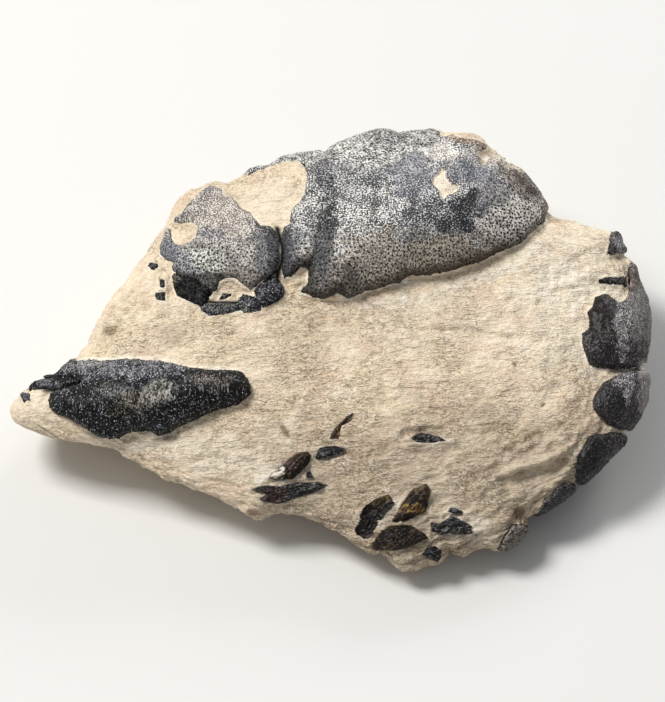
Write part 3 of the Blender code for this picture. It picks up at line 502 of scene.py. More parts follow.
ROCK_CREAM = paint(252, 234, 206)
ROCK_TAN = paint(230, 209, 178)
ROCK_SHADE = paint(190, 167, 138)
ROCK_BLUSH = paint(230, 203, 176)
ROCK_STRAW = paint(232, 213, 176)
ROCK_LINE = paint(112, 90, 68)
ROCK_PALE = paint(255, 246, 228)
ROCK_LOW_SHADE = paint(150, 134, 116)
ROCK_GREY = paint(138, 126, 116)
ROCK_FLECK = paint(132, 108, 82)
ROCK_SPECK = paint(140, 118, 94)
ROCK_STAIN = paint(98, 74, 48)
ROCK_BARE = paint(244, 232, 211)
# Colour of the painted shadow in the gaps between pieces of shell
ROCK_SEAM_SHADOW = paint(24, 21, 20)


def turned(points, angle, along, across):
    """Points turned by an angle in degrees and squeezed along and across it."""
    c = math.cos(math.radians(angle))
    s = math.sin(math.radians(angle))
    u = (points[:, 0] * c + points[:, 1] * s) / along
    v = (points[:, 1] * c - points[:, 0] * s) / across
    return np.stack([u, v], axis=1)


def grain(points, size, seed, layers=3):
    """Unevenness from about -1 to 1 with finer and finer layers, each turned against the last."""
    total = np.zeros(len(points))
    strength = 1.0
    for layer in range(layers):
        total += strength * lumps(turned(points, GRAIN_TURN * layer, 1.0, 1.0), size, seed + layer)
        size *= GRAIN_FINER
        strength *= GRAIN_WEAKER
    return total / GRAIN_SPAN


def spot(points, centre, radii, angle, ragged, seed):
    """A soft patch: 1 in its middle, 0 outside, with a ragged edge."""
    local = turned(points - np.array(centre), angle, radii[0], radii[1])
    reach = np.hypot(local[:, 0], local[:, 1]) + ragged * grain(points, SPOT_GRAIN, seed)
    return below(reach, SPOT_END, SPOT_FADE)


def blend(first, second, weight):
    """The first where the weight is 0, and the second where it is 1."""
    weight = weight[:, None] if first.ndim == 2 else weight
    return first + (second - first) * weight


# ---------------------------------------------------------------------------
# Points of the skin, and where they lie
# ---------------------------------------------------------------------------


def drawn_place(flat):
    """Points of the unrolled skin to the drawing, past the rim where they lie on the back."""
    radius, rim = radius_and_rim(flat)
    turn = np.minimum(radius / rim, math.pi)
    fraction = np.where(turn <= 0.5 * math.pi, np.sin(turn), 2.0 - np.sin(turn))
    return flat * (rim * fraction / radius)[:, None]


def pattern_place(flat):
    """Where the shell's pattern is read: partly the drawing and partly the unrolled skin. Past the
    rim it runs back inwards, so that its grains keep their shape on the back."""
    radius, rim = radius_and_rim(flat)
    turn = np.minimum(radius / rim, math.pi)
    unrolled = np.minimum(turn, math.pi - turn)
    fraction = (1.0 - FLAT_SHARE) * np.sin(turn) + FLAT_SHARE * unrolled
    return flat * (rim * fraction / radius)[:, None]


def outwards(flat, places):
    """The lens's outward direction at each point of the unrolled skin."""
    step = 0.3
    along = wrap(flat + np.array([step, 0.0])) - places
    across = wrap(flat + np.array([0.0, step])) - places
    direction = np.cross(along, across)
    return direction / np.maximum(np.linalg.norm(direction, axis=1), 1e-9)[:, None]


def resample(outline, spacing):
    """Extra points along the long sides of an outline."""
    outline = np.array(outline)
    points = []
    for start, end in zip(outline, np.roll(outline, -1, axis=0)):
        count = max(1, round(float(np.hypot(*(end - start))) / spacing))
        points.extend(start + (end - start) * step / count for step in range(count))
    return np.array(points)


def inner_points(border, spacing, clear):
    """A grid of staggered points inside an outline, clear of its edge."""
    low = border.min(axis=0)
    high = border.max(axis=0)
    rows = []
    for index, y in enumerate(np.arange(low[1], high[1], spacing * math.sqrt(0.75))):
        x = np.arange(low[0] + 0.5 * spacing * (index % 2), high[0], spacing)
        rows.append(np.stack([x, np.full(len(x), y)], axis=1))
    points = np.concatenate(rows)
    return points[depth_inside(points, border) > clear]


# ---------------------------------------------------------------------------
# Meshes
# ---------------------------------------------------------------------------


def store(mesh, name, values):
    """Keeps a value, a place or a colour for each point of a mesh, for its material to read."""
    width = 1 if values.ndim == 1 else values.shape[1]
    kinds = {1: ("FLOAT", "value"), 3: ("FLOAT_VECTOR", "vector"), 4: ("FLOAT_COLOR", "color")}
    kind, field = kinds[width]
    layer = mesh.attributes.new(name, kind, "POINT")
    layer.data.foreach_set(field, values.astype(np.float32).ravel())


def mesh_of(name, points, faces):
    """A smooth-shaded mesh from points in millimetres."""
    mesh = bpy.data.meshes.new(name)
    mesh.from_pydata((points * MM).tolist(), [], [tuple(face) for face in faces])
    mesh.shade_smooth()
    return mesh


def finish_piece(name, mesh, material):
    """Puts a finished mesh in the scene."""
    mesh.materials.append(material)
    piece = bpy.data.objects.new(name, mesh)
    bpy.context.scene.collection.objects.link(piece)
    return piece


# ---------------------------------------------------------------------------
# Pieces of shell: name, solid it stands for, outline, thickness in the middle and at the edge,
# width of the slope between them, spacing of its points, kind of surface, material slot
# ---------------------------------------------------------------------------

SHELLS = [
    ("rear_shield", "carapace_rear", CARAPACE_REAR, 1.20, 0.35, 2.2, 0.238, "rear_shield", "shield"),
    ("head_shield", "carapace_front", CARAPACE_FRONT, 1.10, 0.35, 2.0, 0.20, "head_shield", "shield"),
    ("claw_palm", "claw", CLAW, 1.50, 0.40, 3.0, 0.22, "claw", "claw"),
    ("claw_upper_finger", "claw_finger", CLAW_FINGER, 0.90, 0.35, 1.2, 0.22, "claw", "claw"),
    ("claw_finger_end", "claw_tip", CLAW_TIP, 0.80, 0.30, 0.8, 0.14, "claw_tip", "claw"),
    ("tail_segment_1", "abdomen_1", ABDOMEN_1, 1.20, 0.35, 2.0, 0.26, "tail", "tail"),
    ("tail_segment_2", "abdomen_2", ABDOMEN_2, 1.20, 0.35, 2.0, 0.26, "tail", "tail"),
    ("tail_segment_3", "abdomen_3", ABDOMEN_3, 1.20, 0.35, 2.0, 0.26, "tail", "tail"),
    ("tail_segment_4", "abdomen_4", ABDOMEN_4, 1.00, 0.35, 1.5, 0.26, "tail", "tail"),
    ("tail_tip", "tail_end", TAIL_END, 0.90, 0.30, 1.4, 0.26, "tail_tip", "tail"),
    ("edge_scrap", "edge_piece", EDGE_PIECE, 1.00, 0.35, 0.9, 0.22, "tail", "tail"),
    ("edge_splinter", "edge_bar", EDGE_BAR, 0.80, 0.35, 0.7, 0.20, "scrap", "tail"),
    ("mouth_lump", "mouthparts", MOUTHPARTS, 1.30, 0.25, 1.6, 0.20, "mouth", "claw"),
    ("feeler_block", "antenna_block", ANTENNA_BLOCK, 1.90, 0.45, 1.5, 0.20, "joint", "claw"),
    ("feeler_knob", "antenna_knob", ANTENNA_KNOB, 1.40, 0.35, 1.2, 0.20, "joint", "claw"),
    ("feeler_band", "antenna_band", ANTENNA_BAND, 1.20, 0.30, 1.0, 0.20, "joint", "claw"),
    ("feeler_chip", "antenna_chip", ANTENNA_CHIP, 0.60, 0.25, 0.6, 0.16, "scrap", "claw"),
    ("cheek_dot", "cheek_oval", CHEEK_OVAL, 0.60, 0.25, 0.6, 0.16, "scrap", "claw"),
    ("cheek_strip", "cheek_bar", CHEEK_BAR, 0.60, 0.25, 0.5, 0.16, "scrap", "claw"),
    ("cheek_scrap", "cheek_plate", CHEEK_PLATE, 0.70, 0.25, 0.8, 0.16, "scrap", "claw"),
    ("left_leg_upper", "leg_left_upper", LEG_LEFT_UPPER, 1.30, 0.25, 1.3, 0.17, "leg", "leg"),
    ("left_leg_lower", "leg_left_lower", LEG_LEFT_LOWER, 0.90, 0.25, 1.2, 0.17, "leg_black", "leg"),
    ("left_leg_block", "leg_left_block", LEG_LEFT_BLOCK, 0.90, 0.30, 0.8, 0.17, "leg_black", "leg"),
    ("left_leg_sliver", "leg_left_sliver", LEG_LEFT_SLIVER, 0.40, 0.15, 0.6, 0.16, "leg", "leg"),
    ("left_leg_chip", "leg_left_chip", LEG_LEFT_CHIP, 0.50, 0.25, 0.4, 0.16, "leg_black", "leg"),
    ("face_sliver", "leg_sliver", LEG_SLIVER, 0.40, 0.15, 0.6, 0.17, "leg_black", "leg"),
    ("low_leg_left", "leg_low_left", LEG_LOW_LEFT, -0.30, 0.20, 1.8, 0.17, "leg_hollow", "leg"),
    ("low_leg_right", "leg_low_right", LEG_LOW_RIGHT, 1.70, 0.30, 1.6, 0.17, "leg", "leg"),
    ("low_leg_base", "leg_low_base", LEG_LOW_BASE, 1.40, 0.30, 1.7, 0.17, "leg", "leg"),
    ("low_leg_joint", "leg_low_joint", LEG_LOW_JOINT, 1.40, 0.30, 1.0, 0.17, "leg_black", "leg"),
    ("low_leg_chip", "leg_low_chip", LEG_LOW_CHIP, 0.90, 0.30, 0.7, 0.16, "leg_black", "leg"),
    ("low_leg_foot", "leg_low_foot", LEG_LOW_FOOT, 1.00, 0.30, 0.9, 0.17, "leg_black", "leg"),
]
# How deep a piece is rooted in the rock, how far apart the points of its root are, and how far its
# edge breaks, in spacings
SHELL_ROOT = 0.5
COARSE_SPACING = 1.6
RAGGED_EDGE = 1.1
SHELL_SEED = 200

# Share of the unrolled skin in the place where the pattern is read
FLAT_SHARE = 0.4

# Spots of the shield where shell has flaked off
FLAKED_DEPTH = 0.55
FLAKED_SLOPE = 0.22
FLAKED_RELIEF = 0.22
FLAKED_PALE = paint(238, 226, 208)

# The painted shade along each edge; the dark low edge of the shields, partly a darker tone and partly
# painted shade; and other tones
EDGE_SHADE = 0.75
EDGE_SHADE_WIDTH = 0.34
LOW_EDGE_SHARE = 0.25
LOW_EDGE_PAINTED_SHADE = 0.66
# The tail's pale edge: partly wear, partly painted highlight
TAIL_WORN_AND_HIGHLIGHT = paint(236, 226, 210)

# Centre of the coarse pits of the head, and the slant of the crest's grain
COARSE_PITS = (-24.6, 17.4)
CREST_GRAIN_ANGLE = -55.0


# ---------------------------------------------------------------------------
# Surfaces of the shell. A surface gives masks for its material, the relief in millimetres, and
# the pale and the dark colour at each point. The mask "share" is the share of dark.
# ---------------------------------------------------------------------------

# How ragged the patches of colour are, and the grain in the share of dark
PATCH_SEED = 60
PATCH_RAGGED = 0.40
SHARE_GRAIN = 0.10
SHARE_GRAIN_SIZE = 1.6


def broken(weight, flat, seed):
    """A soft weight with a grainy edge."""
    return smooth_step(0.5 + 1.2 * (weight - 0.5) + 0.30 * grain(flat, 0.7, seed, 3))


def tone_fields(flat, drawn, patches):
    """The pale and the dark colour at each point and the share of dark, from patch over patch."""
    first_pale, first_dark, first_share = patches[0][3:]
    pale = np.tile(np.array(paint(*first_pale)), (len(flat), 1))
    dark = np.tile(np.array(paint(*first_dark)), (len(flat), 1))
    share = np.full(len(flat), first_share)
    for index, (centre, radii, angle, patch_pale, patch_dark, dark_share) in enumerate(patches[1:]):
        seed = PATCH_SEED + index
        weight = broken(spot(drawn, centre, radii, angle, PATCH_RAGGED, seed), flat, seed + 1)
        pale = blend(pale, np.array([paint(*patch_pale)]), weight)
        dark = blend(dark, np.array([paint(*patch_dark)]), weight)
        share = blend(share, dark_share, weight)
    return pale, dark, share + SHARE_GRAIN * grain(flat, SHARE_GRAIN_SIZE, PATCH_SEED - 1, 3)


# Patches of the shell, each laid over the last: centre, radii, angle, pale colour, dark colour and
# share of dark. The first of each table is the ground.
REAR_PATCHES = [
    (None, None, None, (236, 234, 230), (58, 58, 61), 0.58),
    ((10.0, 41.5), (22.0, 5.5), -2.0, (244, 241, 236), (40, 40, 42), 0.58),
    ((12.0, 42.6), (4.0, 3.0), 0.0, (244, 240, 236), (34, 34, 37), 0.70),
    ((2.0, 37.0), (5.0, 5.0), 0.0, (250, 247, 240), (48, 48, 50), 0.58),
    ((12.0, 17.6), (24.0, 6.6), 8.0, (216, 206, 193), (36, 31, 27), 0.60),
    ((-1.0, 14.6), (7.0, 4.8), 0.0, (156, 148, 138), (18, 17, 16), 0.74),
    ((37.0, 26.6), (8.4, 6.4), 0.0, (246, 240, 232), (26, 23, 21), 0.40),
    ((17.0, 34.2), (5.2, 4.6), 10.0, (202, 200, 201), (72, 75, 86), 0.62),
    ((5.0, 32.4), (6.4, 4.4), 0.0, (214, 213, 212), (58, 58, 61), 0.64),
    ((-0.4, 34.6), (2.4, 3.4), 0.0, (190, 190, 192), (52, 52, 56), 0.74),
    ((27.4, 36.4), (7.0, 3.2), 0.0, (218, 214, 211), (92, 90, 92), 0.58),
    ((22.6, 38.8), (3.2, 1.5), 0.0, (250, 244, 235), (128, 122, 117), 0.44),
    ((28.4, 34.4), (4.6, 2.6), 0.0, (190, 189, 192), (74, 78, 90), 0.64),
    ((18.6, 25.6), (5.6, 4.2), 15.0, (206, 205, 205), (46, 46, 51), 0.70),
    ((17.0, 22.6), (3.4, 2.0), 20.0, (178, 174, 170), (46, 44, 44), 0.70),
    ((28.4, 28.8), (4.8, 2.8), 22.0, (166, 168, 174), (18, 19, 24), 0.90),
    ((24.4, 25.2), (3.8, 2.4), 0.0, (164, 166, 172), (18, 19, 23), 0.86),
    ((32.4, 31.0), (4.0, 2.2), 10.0, (196, 193, 194), (30, 29, 31), 0.78),
    ((38.4, 33.8), (5.4, 3.2), -42.0, (204, 192, 184), (34, 27, 24), 0.74),
    ((37.6, 33.4), (2.4, 0.9), -48.0, (140, 126, 116), (22, 14, 11), 0.84),
    ((39.6, 31.4), (1.5, 0.9), -20.0, (140, 126, 118), (20, 12, 10), 0.84),
    # A dark band along the low edge, partly painted shade
    ((24.0, 17.6), (13.0, 1.9), 13.0, (186, 172, 154), (30, 24, 19), 0.70),
    ((35.4, 36.6), (3.2, 1.6), -20.0, (240, 228, 210), (118, 104, 92), 0.42),
    ((30.9, 37.9), (1.3, 0.8), 30.0, (240, 218, 156), (206, 178, 110), 0.30),
    ((30.2, 39.0), (1.2, 0.6), 0.0, (252, 248, 240), (226, 216, 204), 0.30),
    ((31.4, 39.6), (3.0, 1.4), -10.0, (226, 216, 206), (94, 84, 78), 0.55),
    ((24.6, 42.2), (1.9, 1.3), 0.0, (214, 196, 184), (92, 78, 70), 0.62),
    ((28.2, 41.2), (3.6, 1.0), -8.0, (212, 192, 176), (78, 64, 56), 0.60),
    ((20.6, 20.4), (5.0, 2.6), 12.0, (196, 186, 172), (52, 45, 37), 0.54),
    # Partly painted shade in the neck groove, over the shield's darker tone there
    ((-1.4, 20.6), (2.6, 8.6), -10.0, (138, 137, 137), (24, 24, 27), 0.78),
    ((0.4, 32.6), (1.6, 4.6), -6.0, (208, 207, 206), (40, 40, 41), 0.72),
    ((-7.8, 19.6), (2.2, 6.0), 0.0, (172, 170, 171), (32, 32, 36), 0.72),
    ((-4.6, 13.6), (2.6, 3.4), 0.0, (170, 160, 150), (24, 21, 19), 0.7),
    ((42.8, 27.0), (1.1, 3.6), 0.0, (196, 182, 168), (52, 44, 38), 0.60),
]
REAR_FLAKED = [
    [
        (21.6, 34.8), (22.4, 35.8), (23.2, 35.4), (23.2, 34.0), (24.2, 32.8), (25.8, 32.2),
        (25.0, 31.0), (23.4, 30.4), (22.6, 29.4), (22.0, 30.0), (21.6, 31.4), (20.4, 32.6),
        (20.8, 34.2),
    ],
]
HEAD_PATCHES = [
    (None, None, None, (214, 209, 202), (48, 45, 42), 0.60),
    ((-22.0, 27.0), (6.8, 4.8), -30.0, (226, 217, 207), (116, 108, 100), 0.56),
    ((-26.0, 28.4), (2.2, 4.2), -45.0, (218, 210, 202), (98, 91, 86), 0.62),
    ((-24.0, 22.6), (4.4, 1.7), -8.0, (214, 209, 206), (60, 57, 58), 0.66),
    ((-28.4, 16.8), (3.6, 2.8), -35.0, (206, 206, 208), (34, 35, 42), 0.76),
    ((-31.6, 19.2), (2.1, 2.6), 0.0, (176, 176, 181), (42, 42, 48), 0.78),
    ((-24.8, 17.4), (2.8, 2.4), 0.0, (232, 230, 222), (38, 40, 36), 0.56),
    ((-23.6, 13.2), (4.0, 2.2), 0.0, (128, 126, 120), (14, 13, 13), 0.80),
    ((-29.4, 14.6), (3.0, 1.4), -20.0, (150, 148, 148), (18, 18, 19), 0.82),
    ((-17.0, 14.6), (3.4, 1.9), -18.0, (176, 168, 158), (46, 41, 36), 0.58),
    # These two are partly painted shade on the collar's right slope, which turns from the light, over
    # its darker tone
    ((-12.2, 20.0), (3.2, 6.6), 6.0, (172, 170, 170), (34, 34, 36), 0.70),
    ((-10.8, 19.6), (1.6, 5.4), 6.0, (112, 111, 114), (16, 16, 18), 0.82),
]
CLAW_PATCHES = [
    (None, None, None, (206, 208, 214), (9, 9, 11), 0.93),
    # These two are paler along the top: partly grey-blue crust, partly painted highlight where the
    # top faces the light
    ((-40.0, -4.2), (12.0, 2.4), 0.0, (230, 230, 234), (42, 43, 49), 0.48),
    ((-48.6, -3.4), (4.4, 1.8), 0.0, (236, 235, 234), (36, 36, 39), 0.46),
    ((-36.0, -9.4), (4.6, 2.2), 8.0, (206, 200, 188), (20, 19, 18), 0.62),
    ((-41.0, -11.0), (3.6, 2.2), 30.0, (190, 182, 168), (13, 11, 10), 0.70),
    ((-43.6, -8.6), (2.0, 1.5), 0.0, (196, 194, 188), (20, 20, 20), 0.60),
    ((-23.6, -7.0), (4.4, 1.2), -4.0, (190, 182, 174), (18, 15, 15), 0.66),
    # These two make the claw's low side fully dark: partly painted shade, where it turns from the
    # light
    ((-42.0, -15.0), (7.0, 2.4), -10.0, (200, 200, 204), (5, 5, 6), 1.0),
    ((-22.0, -10.6), (5.4, 1.6), 14.0, (200, 200, 204), (6, 6, 8), 1.0),
    ((-30.0, -14.6), (4.4, 1.8), 12.0, (190, 192, 198), (18, 19, 22), 0.76),
]
# Where pale crust shows through the black in streaks: centre, radii, angle and strength
CLAW_STREAKS = [
    ((-34.0, -8.6), (4.6, 1.7), 12.0, 0.52),
    ((-40.6, -9.4), (2.6, 2.4), 0.0, 0.34),
    ((-32.2, -8.4), (1.6, 1.0), 50.0, 0.50),
    ((-25.4, -6.8), (4.0, 0.9), -2.0, 0.22),
    ((-49.0, -3.8), (3.2, 0.9), 4.0, 0.35),
    ((-55.4, -7.6), (3.6, 0.8), -16.0, 0.30),
]
TAIL_PATCHES = [
    (None, None, None, (150, 143, 142), (26, 23, 24), 0.74),
    ((62.6, 8.0), (4.0, 9.4), 0.0, (206, 200, 198), (78, 74, 74), 0.44),
    ((58.2, 4.0), (1.8, 6.0), 0.0, (252, 248, 246), (38, 35, 36), 0.46),
    ((60.4, 15.4), (2.0, 4.0), 0.0, (186, 172, 164), (60, 50, 46), 0.50),
    ((62.8, -7.0), (2.0, 5.6), 0.0, (216, 208, 204), (80, 75, 75), 0.40),
    ((58.6, -7.4), (2.2, 3.6), -20.0, (246, 242, 240), (36, 34, 36), 0.52),
    ((53.4, 6.8), (2.8, 3.4), 0.0, (92, 70, 62), (14, 8, 8), 0.86),
    ((54.2, -2.0), (2.4, 3.0), 0.0, (128, 122, 120), (24, 21, 22), 0.74),
    ((56.0, -10.4), (2.6, 3.0), 0.0, (118, 112, 114), (20, 18, 20), 0.78),
    ((50.0, -22.0), (4.6, 3.6), 60.0, (104, 98, 98), (13, 11, 12), 0.84),
    ((58.4, 21.4), (1.8, 2.6), 0.0, (232, 230, 228), (66, 64, 65), 0.46),
]
TIP_PATCHES = [(None, None, None, (214, 204, 190), (70, 63, 57), 0.55)]
CLAW_TIP_PATCHES = [(None, None, None, (190, 190, 196), (52, 51, 58), 0.5)]
JOINT_PATCHES = [
    (None, None, None, (206, 205, 212), (30, 30, 34), 0.66),
    ((-21.0, 8.2), (4.4, 1.8), 0.0, (204, 206, 200), (38, 40, 39), 0.52),
]
# The mouth's near black is partly painted shade under the head's low edge
MOUTH_PATCHES_AND_SHADE = [
    (None, None, None, (116, 111, 110), (6, 5, 6), 0.95),
    ((-30.8, 13.4), (1.1, 1.4), 0.0, (206, 194, 182), (26, 21, 19), 0.6),
]
SCRAP_PATCHES = [(None, None, None, (170, 166, 156), (28, 28, 27), 0.74)]
LEG_PATCHES = [
    (None, None, None, (84, 64, 42), (13, 8, 6), 0.90),
    ((-8.0, -21.0), (3.2, 2.4), 40.0, (104, 78, 70), (30, 18, 16), 0.74),
    ((-11.6, -24.6), (2.8, 1.8), 35.0, (232, 220, 204), (40, 30, 26), 0.36),
    ((18.2, -27.0), (2.2, 3.4), 40.0, (112, 96, 66), (26, 20, 13), 0.74),
    ((15.6, -31.8), (4.4, 1.3), -10.0, (150, 116, 66), (32, 21, 12), 0.62),
    ((17.8, -35.4), (2.6, 0.9), -12.0, (128, 94, 50), (22, 14, 8), 0.74),
    ((2.2, -16.4), (0.9, 1.5), -30.0, (150, 108, 46), (44, 26, 12), 0.62),
]
# The hollow leg is near black, partly by painted shade in its hollow
HOLLOW_LEG_TONES_AND_SHADE = [
    (None, None, None, (60, 44, 34), (8, 5, 4), 0.94),
    ((10.6, -29.4), (2.8, 1.3), 20.0, (116, 96, 60), (26, 19, 12), 0.64),
]
BLACK_LEG_PATCHES = [
    (None, None, None, (128, 125, 124), (11, 10, 11), 0.86),
    ((-12.4, -29.6), (4.4, 1.8), 15.0, (112, 90, 84), (30, 19, 18), 0.70),
]


def rear_shield(flat, drawn, edge):
    """The shield of the back: granules on its crest, partly painted highlight on raised grains, pits
    lower down, a dark low edge, partly painted shade, and a pale rim at the right."""
    u = drawn[:, 0]
    v = drawn[:, 1]
    pale, dark, share = tone_fields(flat, drawn, REAR_PATCHES)
    crest = smooth_step((v - 34.0 + 0.10 * u) / 4.0) * below(u, 24.0, 6.0)
    pitted = np.maximum(below(v, 26.0, 5.0), above(u, 27.0, 5.0))
    crest = broken(crest, flat, 12)
    pitted = broken(pitted, flat, 13) * (1.0 - crest)
    # The low edge is darker, partly by its own tone and partly by painted shade where it turns from
    # the light: more dark share, and both tones dimmed
    low_edge = below(edge, 3.2, 3.0) * below(v, 28.0, 6.0)
    share = share + LOW_EDGE_SHARE * low_edge
    low_edge_shade = (1.0 - LOW_EDGE_PAINTED_SHADE * low_edge)[:, None]
    rim = below(edge, 2.2, 0.8) * above(u, 32.0, 3.0)
    rim *= above(v, 27.0, 3.0)
    relief = 0.10 * grain(flat, 3.0, 41) + 0.07 * grain(flat, 0.6, 42, 2)
    relief += 0.10 * crest * grain(turned(flat, CREST_GRAIN_ANGLE, 1.5, 0.75), 0.7, 44, 1)
    pits = 0.25 + 0.03 * grain(flat, 3.0, 46) + 0.05 * above(u, 30.0, 6.0)
    masks = {"share": share, "crest": crest, "pitted": pitted, "pits": pits, "light": rim}
    return masks, relief, blend(pale * low_edge_shade, np.array([ROCK_PALE]), rim), dark * low_edge_shade


def head_shield(flat, drawn, edge):
    """The shield of the head: pits on its lower part, coarse near the eye, and a dark low edge,
    partly painted shade.
    """
    v = drawn[:, 1]
    pale, dark, share = tone_fields(flat, drawn, HEAD_PATCHES)
    # A darker low edge, partly painted shade
    low_edge = below(edge, 1.8, 1.8) * below(v, 19.0, 3.0)
    pitted = broken(below(v, 25.5, 5.0), flat, 14)
    relief = 0.10 * grain(flat, 2.6, 43) + 0.08 * grain(flat, 0.6, 47, 2)
    pits = 0.23 + 0.07 * spot(drawn, COARSE_PITS, (4.6, 3.4), 0.0, 0.4, 48)
    masks = {"share": share + LOW_EDGE_SHARE * low_edge, "pitted": pitted, "pits": pits}
    return masks, relief, pale, dark


def claw(flat, drawn, edge):
    """The claw: black, with streaks of pale crust."""
    pale, dark, share = tone_fields(flat, drawn, CLAW_PATCHES)
    threads = grain(turned(flat, 62.0, 1.2, 0.6), 0.60, 50)
    streaks = smooth_step(0.40 + 0.85 * threads)
    light = np.zeros(len(flat))
    for centre, radii, angle, strength in CLAW_STREAKS:
        light = np.maximum(light, strength * spot(drawn, centre, radii, angle, 0.5, 54))
    relief = 0.14 * grain(flat, 1.5, 55) + 0.06 * grain(flat, 0.5, 56, 1) + 0.05 * threads
    return {"share": share, "light": light * streaks}, relief, pale, dark


def tail(flat, drawn, edge):
    """The tail: brown, with a pale edge that is widest at the outside: partly worn shell and partly
    painted highlight on the outer rims.
    """
    pale, dark, share = tone_fields(flat, drawn, TAIL_PATCHES)
    # The pale edge is partly wear and partly painted highlight, widest at the outer rim
    outer = smooth_step((drawn[:, 0] - 59.0 - 0.2 * np.minimum(drawn[:, 1], 0.0)) / 3.0)
    patchy = smooth_step(0.5 + 1.6 * grain(flat, 1.8, 76, 2) + 0.5 * outer)
    worn = below(edge, 0.30 + 0.35 * outer, 0.25) * patchy
    pale = blend(pale, np.array([TAIL_WORN_AND_HIGHLIGHT]), worn)
    relief = 0.14 * grain(flat, 2.0, 75) + 0.06 * grain(flat, 0.6, 77)
    return {"share": share, "light": 0.8 * worn}, relief, pale, dark


def mouth(flat, drawn, edge):
    """The mouth: dark, partly its own tone and partly painted shade under the head's low edge, with
    slanted ridges.
    """
    pale, dark, share = tone_fields(flat, drawn, MOUTH_PATCHES_AND_SHADE)
    ridges = grain(turned(flat, -24.0, 2.4, 0.6), 0.8, 89)
    return {"share": share}, 0.34 * ridges, pale, dark


def lumpy(patches, height, size, seed, flat, drawn, edge):
    """A small piece: its patches alone, with lumps of a height and a size."""
    pale, dark, share = tone_fields(flat, drawn, patches)
    return {"share": share}, height * grain(flat, size, seed), pale, dark


def long_direction(flat):
    """The angle, in degrees, of the long way of a scatter of points."""
    ways = np.linalg.eigh(np.cov(flat.T))[1]
    return math.degrees(math.atan2(ways[1, 1], ways[0, 1]))


def fibres(patches, edge_paint, edge_width, flat, drawn, edge):
    """A leg: fibres that run the long way, with a coloured line along the edge."""
    pale, dark, share = tone_fields(flat, drawn, patches)
    threads = grain(turned(flat, long_direction(flat), 3.0, 0.42), 0.62, 93)
    threads = 0.6 * threads + 0.6 * grain(flat, 0.5, 97, 2)
    light = smooth_step(0.5 + 1.0 * threads + 1.2 * (0.5 - share))
    patchy = smooth_step(0.5 + 1.8 * grain(flat, 1.3, 91, 2))
    worn = below(edge, edge_width, edge_width) * patchy
    pale = blend(pale, np.array([paint(*edge_paint)]), worn)
    light = np.clip(light + worn, 0.0, 1.0)
    relief = 0.16 * threads + 0.14 * grain(flat, 1.1, 95)
    return {"light": light}, relief, pale, dark


# Each kind of surface, and the name of its material
SURFACES = {
    "rear_shield": (rear_shield, "shield"),
    "head_shield": (head_shield, "shield"),
    "claw": (claw, "claw"),
    "claw_tip": (partial(lumpy, CLAW_TIP_PATCHES, 0.20, 0.9, 58), "claw"),
    "tail": (tail, "tail"),
    "tail_tip": (partial(lumpy, TIP_PATCHES, 0.22, 1.1, 79), "tail"),
    "scrap": (partial(lumpy, SCRAP_PATCHES, 0.20, 0.6, 82), "claw"),
    "joint": (partial(lumpy, JOINT_PATCHES, 0.28, 1.0, 85), "claw"),
    "mouth": (mouth, "claw"),
    "leg": (partial(fibres, LEG_PATCHES, (166, 136, 84), 0.34), "leg"),
    "leg_hollow": (partial(fibres, HOLLOW_LEG_TONES_AND_SHADE, (104, 78, 44), 0.25), "leg"),
    "leg_black": (partial(fibres, BLACK_LEG_PATCHES, (186, 176, 164), 0.25), "leg"),
}


def flake_off(flat, drawn, masks, relief, pale, dark):
    """Lays the rock bare where shell has flaked off."""
    for outline in REAR_FLAKED:
        inside = smooth_step(depth_inside(drawn, outline) / FLAKED_SLOPE)
        relief = blend(relief, -FLAKED_DEPTH + FLAKED_RELIEF * grain(flat, 1.1, 45), inside)
        for name, flaked in (("share", 0.1), ("crest", 0.0), ("pitted", 0.0)):
            masks[name] = blend(masks[name], flaked, inside)
        pale = blend(pale, np.array([FLAKED_PALE]), inside)
        dark = blend(dark, np.array([ROCK_SHADE]), inside)
    return relief, pale, dark


def triangles_in(border, inner):
    """The points and triangles that fill a border, with its points first."""
    corners = [Vector(point) for point in np.concatenate([border, inner])]
    filled = delaunay_2d_cdt(corners, [], [list(range(len(border)))], 1, 1e-7)
    return np.array([corner[:] for corner in filled[0]]), filled[2]


def ragged(border, spacing, seed):
    """A border with small breaks along it."""
    shift = np.stack([grain(border, 1.0, seed, 2), grain(border, 1.0, seed + 5, 2)], axis=1)
    return border + RAGGED_EDGE * spacing * shift


def shell_height(edge, relief, thick, thin_edge, slope):
    """How far a piece stands over the lens: thin at its edge, with the relief on top."""
    crown = np.clip(edge / slope, 0.0, 1.0)
    height = thin_edge + (thick - thin_edge) * crown * (2.0 - crown)
    return height + relief * smooth_step(edge / 0.5 + 0.3)


def sheet_faces(top_faces, low_faces, shift, border_count):
    """The faces of a closed sheet: its outer face, its root the other way round, and its wall."""
    turned_low = [(a + shift, c + shift, b + shift) for a, b, c in low_faces]
    after = list(range(1, border_count)) + [0]
    wall = [(start, start + shift, end + shift, end) for start, end in enumerate(after)]
    return list(top_faces) + turned_low + wall


